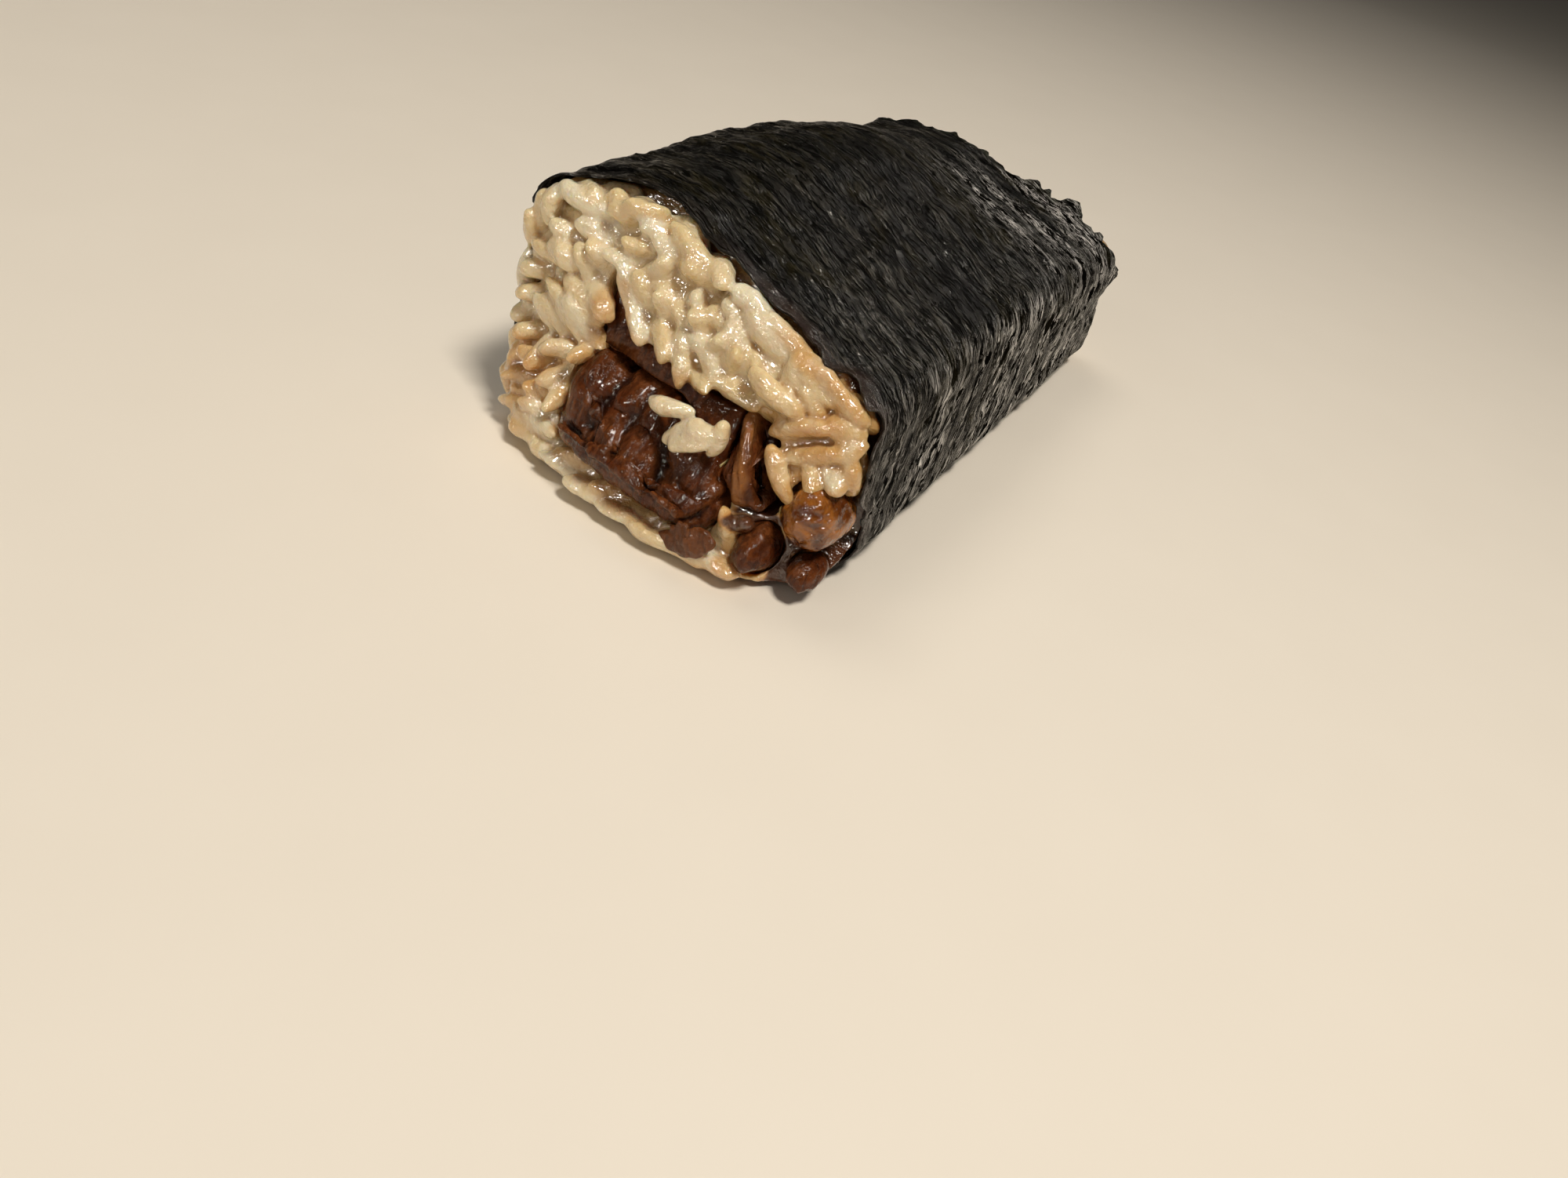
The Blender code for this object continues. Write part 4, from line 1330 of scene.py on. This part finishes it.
def rim_grains(front, outline, seed):
    """Grains that lie along the wrap's edge, half under it."""
    draw = np.random.default_rng(seed + 1)
    step = np.linalg.norm(np.roll(outline, -1, axis=0) - outline, axis=1)
    along = np.append(0, np.cumsum(step))
    normals = outward(outline, closed=True)
    end = -1.0 if front else 1.0
    middles, axes, lengths = [], [], []
    at, level = 0.0, 0.8
    while at < along[-1]:
        level = 0.95 - level
        k = int(np.searchsorted(along, at) % len(outline))
        at_edge = outline[k] - normals[k] * draw.uniform(0.9, 1.4)
        at += draw.uniform(2.0, 3.0)
        fallen = bare_corner(at_depth(at_edge[None], 0.0))[0] if front else 0.0
        if at_edge[1] < 3.5 or fallen > 1.0:
            continue
        tangent = math.atan2(normals[k][0], -normals[k][1]) + draw.normal(0, 0.3)
        lean = draw.normal(0, 0.25)
        reach = abs(face_y(at_edge[0], at_edge[1], front)) - HALF_LENGTH
        y = end * (HALF_LENGTH + max(reach * level, 0.6) + draw.uniform(-0.3, 0.3))
        middles.append((at_edge[0], y, at_edge[1]))
        axes.append(lying(tangent, lean))
        lengths.append(draw.uniform(4.6, 7.2))
    return np.array(middles), np.array(axes), np.array(lengths)


def filler_grains(front, outline, holes, taken, spacing, seed):
    """Grains spread over what the placed ones leave free."""
    draw = np.random.default_rng(seed)
    middles, axes, lengths = [], [], []
    spots = [np.array(p) for p in taken]
    low, high = outline.min(0), outline.max(0)
    tries = draw.uniform(low, high, (5000, 2))
    inside = outline_distance(tries, outline)[0] < -0.9
    for hole in holes:
        inside &= outline_distance(tries, hole)[0] > 0.8
    if front:
        inside &= bare_corner(at_depth(tries, 0.0)) < 1.0
    for x, z in tries[inside]:
        if all((x - s[0]) ** 2 + (z - s[1]) ** 2 > spacing**2 for s in spots):
            spots.append(np.array((x, z)))
            turn, lean = draw.uniform(0, math.pi), draw.normal(0, 0.6)
            sunk = draw.uniform(-0.2, 1.1)
            y = face_y(x, z, front) + (sunk if front else -sunk)
            middles.append((x, y, z))
            axes.append(lying(turn, lean))
            lengths.append(draw.uniform(5.4, GRAIN_LENGTH))
    return np.array(middles), np.array(axes), np.array(lengths)


def crosses(grains, holes):
    """Which grains lie over the beef."""
    over = np.zeros(len(grains.length), bool)
    for share in (-0.8, -0.4, 0.0, 0.4, 0.8):
        at = grains.middle + grains.axis * (grains.length / 2 * share)[:, None]
        for hole in holes:
            over |= outline_distance(at[:, [0, 2]], hole)[0] < -0.1
    return over


def grain_points(grains, rings, sides):
    """Points and faces of every grain: a bent spindle with blunt, unlike ends."""
    t = np.concatenate([[-1.0], -np.cos(np.linspace(0.32, math.pi - 0.32, rings)), [1.0]])
    swell = np.clip(1 - np.abs(t[None]) ** grains.tip[:, None], 0, 1) ** 0.55
    swell = swell * (1 + grains.blunt[:, None] * t[None])
    side = unit(np.cross(grains.axis, (0.21, 0.35, 0.91)))
    up = np.cross(grains.axis, side)
    c, s = np.cos(grains.roll)[:, None], np.sin(grains.roll)[:, None]
    side, up = side * c + up * s, up * c - side * s
    turn = np.arange(sides) * math.tau / sides
    half = grains.length[:, None] / 2
    spine = grains.middle[:, None] + grains.axis[:, None] * (half * t)[..., None]
    arch = grains.bend[:, None] * (0.5 - t[None] ** 2)
    spine = spine + up[:, None] * arch[..., None]
    sideways = np.cos(turn)[None, None] * (swell * grains.width[:, None] / 2)[..., None]
    upward = np.sin(turn)[None, None] * (swell * grains.thick[:, None] / 2)[..., None]
    body = spine[:, :, None] + side[:, None, None] * sideways[..., None]
    body = body + up[:, None, None] * upward[..., None]
    count = len(grains.length)
    rings_only = body[:, 1:-1].reshape(count, -1, 3)
    points = np.concatenate([spine[:, :1], rings_only, spine[:, -1:]], axis=1)
    own = points + np.arange(count)[:, None, None] * 7.3
    for axis in range(3):
        wobble = smooth_noise(own.reshape(-1, 3), 2.3, 81 + axis).reshape(points.shape[:2])
        points[..., axis] += 0.17 * wobble
    faces = []
    per_grain = points.shape[1]
    starts = [1 + r * sides for r in range(rings)]
    for k in range(sides):
        j = (k + 1) % sides
        faces.append((0, 1 + j, 1 + k))
        for a, b in zip(starts, starts[1:]):
            faces.append((a + k, a + j, b + j, b + k))
        faces.append((starts[-1] + k, starts[-1] + j, per_grain - 1))
    every = [tuple(v + g * per_grain for v in f) for g in range(count) for f in faces]
    return points.reshape(-1, 3), every


# The core's end: how far each ring lies inside the outline, and how far it has come out
# from inside the wrap towards the face, which it starts to do at RIM_START
RIM_STEPS = [(0.0, 0.0), (0.5, 0.0), (1.3, 0.05), (2.1, 0.2), (2.9, 0.6), (3.7, 1.0)]
RIM_START = 43.0


def bare_corner(points):
    """How far the rice has fallen back at the lower right, where lumps of beef lie."""
    beside = ramp(points[:, 0], 22.0, 24.5) * ramp(-points[:, 2], -15.0, -12.5)
    below = ramp(points[:, 0], 17.5, 20.0) * ramp(-points[:, 2], -9.5, -7.0)
    return np.maximum(3.6 * beside, 1.9 * below)


def rice_rings(outline_path, front):
    """Rings of an end slab of the block, from inside the wrap to the end face."""
    end = -1.0 if front else 1.0
    rings = []
    for y, share in ((39.5, BLOCK_SHARE), (41.0, 0.98)):
        rings.append(place(BLOCK_CENTRE + (outline_path - BLOCK_CENTRE) * share, end * y))
    normals = outward(outline_path, closed=True)
    inner = outline_path - normals * RIM_STEPS[-1][0]
    steps = [(outline_path - normals * inset, part) for inset, part in RIM_STEPS]
    steps += [(BLOCK_CENTRE + (inner - BLOCK_CENTRE) * share, 1.0) for share in (0.6, 0.25)]
    for path, part in steps:
        ring = place(path, end * HALF_LENGTH)
        low = ramp(-ring[:, 2], -6.0, -3.5) if front else 0.0
        part = part + (0.97 - part) * low if part < 1.0 else part
        depth = CORE_DEPTH + (bare_corner(ring) if front else 0.6)
        whole = face_y(ring[:, 0], ring[:, 2], front) - end * depth
        ring[:, 1] = end * RIM_START + (whole - end * RIM_START) * part
        rings.append(ring)
    return rings


def sauce_and_shade_at(points, front):
    """Where sauce has soaked into the rice: near the beef and along the right rim, and at the
    front also in the right-hand corner and at the left; and painted shade in dark sauce-brown
    at the front, behind the grains, between the lumps and in the bare corner."""
    flat = points[:, [0, 2]]
    beef = beef_outlines(("beef_glazed_lump", "beef_dark_lump") if front else ())
    near = np.min([outline_distance(flat, outline)[0] for outline in beef], axis=0)
    mottle = layered_noise(points, 6.0, 3, 91)
    edge = outline_distance(flat, end_outline(front, 0.0))[0]
    soaked = 0.75 * ramp(-near, -2.6 - 1.5 * mottle, -0.2)
    if front:
        corner = spot(flat, (19.5, 20.0), (6.5, 6.0))
        left = spot(flat, (-18.5, 9.0), (6.0, 8.0))
        soaked = np.maximum(soaked, (0.92 + 0.5 * mottle) * corner)
        soaked = np.maximum(soaked, (1.0 + 0.5 * mottle) * left)
    rim = ramp(edge, -2.6 + mottle, -0.2) * ramp(flat[:, 0], 4.0, 14.0)
    soaked = np.clip(np.maximum(soaked + 0.12 + 0.25 * mottle, 0.9 * rim), 0, 1)
    if front:
        # Painted shade, added on top of the sauce: dark sauce-brown in the recess behind the
        # face, in a spot between the lumps and in the bare corner
        behind = points[:, 1] - face_y(points[:, 0], points[:, 2], True)
        at_rim = ramp(edge, -3.2, -1.6)
        soaked += (0.15 + 0.75 * at_rim) * ramp(behind, 1.4 - 0.3 * at_rim, 2.9)
        soaked += ramp(spot(flat, (15.6, 7.8), (3.2, 1.5)), 0.3, 0.7)
        soaked += ramp(bare_corner(points), 0.6, 1.8)
    return soaked


def build_rice_end(name, front, material):
    """One end of the block: a slab with its grains melted together, as sticky rice is."""
    outline = end_outline(front, 0.1 if front else 0.8)
    holes = beef_outlines(LUMPS if front else ())
    spacing, seed = FRONT_SPREAD if front else BACK_SPREAD
    placed = shown_grains() if front else (np.zeros((0, 3)), np.zeros((0, 3)), np.zeros(0))
    rim = rim_grains(front, outline, seed)
    taken = np.concatenate([placed[0], rim[0]])[:, [0, 2]]
    more = filler_grains(front, outline, holes, taken, spacing, seed)
    middles, axes, lengths = [np.concatenate(parts) for parts in zip(placed, rim, more)]
    fixed = np.arange(len(middles)) < len(placed[0])
    heap = Grains(middles, axes, lengths, fixed, seed)
    heap.tint = heap.tint**2 * 0.85
    if front:
        heap.tint[list(WHITE_GRAINS)] = 1.0
    heap = settle(heap, front, outline, holes)
    heap = heap.keep(heap.fixed | ~crosses(heap, holes))
    low = heap.middle[:, 2] - np.abs(heap.axis[:, 2]) * heap.length / 2 - heap.thick / 2
    heap.middle[:, 2] += np.maximum(LOWEST_GRAIN - low, 0)

    grains = add_mesh("grains", *grain_points(heap, 10, 12), None)
    slab = add_mesh("slab", *loft(rice_rings(core_path(), front)), None)
    cut_away(slab, channel_cutters())
    whole = join([slab, grains], name)
    melt_together(whole, VOXEL)
    thin_to_limit(whole)
    dress(whole, material)
    colour_rice(whole.data, heap, front)
    return whole


def melt_together(obj, voxel):
    """Fuses a heap into one skin."""
    melt = obj.modifiers.new("melt", "REMESH")
    melt.mode = "VOXEL"
    melt.voxel_size = voxel * MM
    apply_modifiers(obj)


def thin_to_limit(obj):
    """Fewer triangles where a piece has more than PIECE_LIMIT."""
    count = 2 * len(obj.data.polygons)
    if count > PIECE_LIMIT:
        obj.modifiers.new("thinned", "DECIMATE").ratio = PIECE_LIMIT / count
        apply_modifiers(obj)


def colour_rice(mesh, heap, front, crushed=1.0, sauce_and_shade_share=1.0):
    """Softens the melted surface and notes each point's grain, its hollows and creases, where
    shade is painted, and its sauce, which also carries painted shade.
    """
    points = read_points(mesh)
    soft = blurred(mesh, points, 1)
    mash = crushed * mash_at(points, front)[:, None]
    points = 0.4 * points + 0.6 * soft
    points = points + (blurred(mesh, soft, 16) - points) * mash
    relief = 0.09 * smooth_noise(points, 0.9, 97)
    relief = relief + 0.12 * smooth_noise(points, 1.9, 98) * mash[:, 0]
    write_points(mesh, points + read_normals(mesh) * relief[:, None])
    points = read_points(mesh)
    steps = np.linspace(-0.8, 0.8, 5)
    along = (heap.length[:, None] / 2 * steps)[..., None]
    samples = (heap.middle[:, None] + heap.axis[:, None] * along).reshape(-1, 3)
    tree = KDTree(len(samples))
    for k, p in enumerate(samples):
        tree.insert(Vector(p), k)
    tree.balance()
    nearest = np.array([tree.find(Vector(p))[1] // len(steps) for p in points])
    set_value(mesh, "tint", blurred(mesh, heap.tint[nearest], 1))
    # Hollows and creases, where the finish paints shade
    set_value(mesh, "hollow", blurred(mesh, ramp(hollows(mesh, 26), 0.04, 0.36), 1))
    set_value(mesh, "crease", ramp(hollows(mesh, 4), 0.015, 0.10))
    # Sauce, with painted shade in recesses at the front
    set_value(mesh, "sauce", sauce_and_shade_share * sauce_and_shade_at(points, front))


def mash_at(points, front):
    """Where the grains are crushed together: in patches, and at the front also low at the
    left and high in the middle."""
    patches = 0.8 * ramp(smooth_noise(points, (6.0, 9.0, 4.5), 95), -0.15, 0.35)
    if front:
        low = ramp(-points[:, 2], -6.0, -3.5) * ramp(-points[:, 0], -14.0, -10.0)
        middle = spot(points[:, [0, 2]], (1.0, 25.0), (11.0, 5.5))
        patches = np.maximum(patches, np.maximum(low, 0.9 * middle))
    return patches


def build_rice_block(material):
    """The block between its two ends, hidden by the wrap, with the beef's channels."""
    path = BLOCK_CENTRE + (core_path() - BLOCK_CENTRE) * BLOCK_SHARE
    rings = [place(path, y) for y in np.linspace(-39.0, 39.0, 27)]
    block = add_mesh("rice_block", *loft(rings), None)
    cut_away(block, channel_cutters())
    dress(block, material)
    count = len(block.data.vertices)
    for key, level in (("tint", 0.3), ("hollow", 0.3), ("crease", 0.0), ("sauce", 0.2)):
        set_value(block.data, key, np.full(count, level))
    return block


def build_clump(material):
    """The few grains stuck together on the roll, where the solids have them."""
    rows = np.array(CLUMP, float)
    front_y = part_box("rice_clump")[0].y / MM
    y = front_y + GRAIN_THICKNESS / 2 + rows[:, 1].max() - rows[:, 1]
    turn = np.radians(rows[:, 3])
    axis = np.stack([np.cos(turn), np.zeros(len(rows)), np.sin(turn)], axis=1)
    middle = np.stack([rows[:, 0], y, rows[:, 2]], axis=1)
    heap = Grains(middle, axis, rows[:, 4], np.ones(len(rows)), 3)
    clump = add_mesh("rice_clump_grains", *grain_points(heap, 12, 14), None)
    melt_together(clump, CLUMP_VOXEL)
    dress(clump, material)
    heap.tint[:] = CLUMP_TINT
    colour_rice(clump.data, heap, True, crushed=0.0, sauce_and_shade_share=0.6)
    return clump


# Stage, light and camera


TABLE_DARK = (0.83, 0.76, 0.65)
TABLE_LIGHT = (0.85, 0.78, 0.67)
# The table reaches this far each way, just under the musubi, and its corners' sides
TABLE_HALF = 3000.0
TABLE_TOP = -0.05
SQUARE = [(-1, -1), (1, -1), (1, 1), (-1, 1)]


def build_stage():
    f = Finish("pale_table", IOR=1.5)
    speck = f.noise(f.place(), 60.0, 2.0, 0.5)
    colour = f.mix(speck, TABLE_DARK, TABLE_LIGHT)
    material = f.wear(Base_Color=colour, Roughness=0.62 + speck * 0.05)
    corners = [(x * TABLE_HALF, y * TABLE_HALF, TABLE_TOP) for x, y in SQUARE]
    add_mesh("table", corners, [(0, 1, 2, 3)], material)


WARM = (1.0, 0.94, 0.86)
PLAIN = (1.0, 0.98, 0.96)
GLINT = (1.0, 0.93, 0.82)
WORLD_COLOUR = (1.0, 0.96, 0.90, 1.0)
WORLD_STRENGTH = 0.035
# Lamps: where each stands, where it points, its width and height, watts and colour,
# whether gloss shows it, and whether it lights dull surfaces
LAMPS = {
    "key_lamp": ((230, -170, 600), (0, -20, 15), 120, 120, 3.3, WARM, True, True),
    "front_fill": ((-200, -560, 330), (0, 0, 10), 420, 320, 0.50, WARM, False, True),
    "top_fill": ((-260, 120, 620), (0, 0, 10), 300, 300, 0.9, WARM, False, True),
    "low_sheen": ((-60, 900, 200), (15, 35, 25), 260, 60, 0.012, PLAIN, True, True),
    "left_sparkle": ((-120, -520, 260), (0, -50, 12), 50, 50, 1.6, GLINT, True, False),
    "right_sparkle": ((210, -500, 380), (0, -50, 12), 50, 50, 1.4, GLINT, True, False),
    "far_sparkle": ((60, 330, 470), (0, -20, 30), 48, 48, 0.30, GLINT, True, False),
}


def add_light(name, stands, points_at, width, height, watts, colour, glossy, diffuse):
    light = bpy.data.lights.new(name, "AREA")
    light.shape = "RECTANGLE"
    light.size, light.size_y = width * MM, height * MM
    light.energy = watts
    light.color = colour
    obj = add_object(name, light)
    obj.location = Vector(stands) * MM
    way = Vector(points_at) - Vector(stands)
    obj.rotation_euler = way.to_track_quat("-Z", "Y").to_euler()
    obj.visible_glossy = glossy
    obj.visible_diffuse = diffuse
    obj.visible_camera = False


def build_lights():
    for name, row in LAMPS.items():
        add_light(name, *row)
    world = bpy.data.worlds.new("studio")
    world.use_nodes = True
    background = world.node_tree.nodes["Background"]
    background.inputs["Color"].default_value = WORLD_COLOUR
    background.inputs["Strength"].default_value = WORLD_STRENGTH
    bpy.context.scene.world = world


# The camera stands to the musubi as in the photograph, which is tilted
CAMERA_PLACE = (56.8, -153.1, 80.2)
CAMERA_RIGHT = (0.836339, 0.489603, 0.246629)
CAMERA_UP = (-0.478124, 0.431336, 0.765080)
CAMERA_LENS = 27.0
SENSOR_WIDTH = 36.0
NEAREST_SEEN = 0.005


def build_camera():
    camera = bpy.data.cameras.new("camera")
    camera.lens = CAMERA_LENS
    camera.sensor_width = SENSOR_WIDTH
    camera.clip_start = NEAREST_SEEN
    right, up = Vector(CAMERA_RIGHT), Vector(CAMERA_UP)
    back = right.cross(up).normalized()
    turn = Matrix((right, up, back)).transposed().to_4x4()
    obj = add_object("camera", camera)
    obj.matrix_world = Matrix.Translation(Vector(CAMERA_PLACE) * MM) @ turn
    bpy.context.scene.camera = obj


def carry(obj, node):
    """Hangs a piece on the root body and hides the node that it replaces."""
    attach(obj, "root")
    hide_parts(node)


def main():
    rice = rice_finish()
    beef = beef_finish()
    carry(build_nori(nori_finish()), "nori")
    front = build_rice_end("rice_front", True, rice)
    back = build_rice_end("rice_back", False, rice)
    for obj in (front, back, build_rice_block(rice)):
        carry(obj, "rice")
    carry(build_clump(rice), "rice_clump")
    for obj, node, slot in build_beef(beef, glaze_finish()):
        carry(obj, node)
    build_stage()
    build_lights()
    build_camera()
    bpy.context.scene.view_settings.view_transform = "Standard"


main()
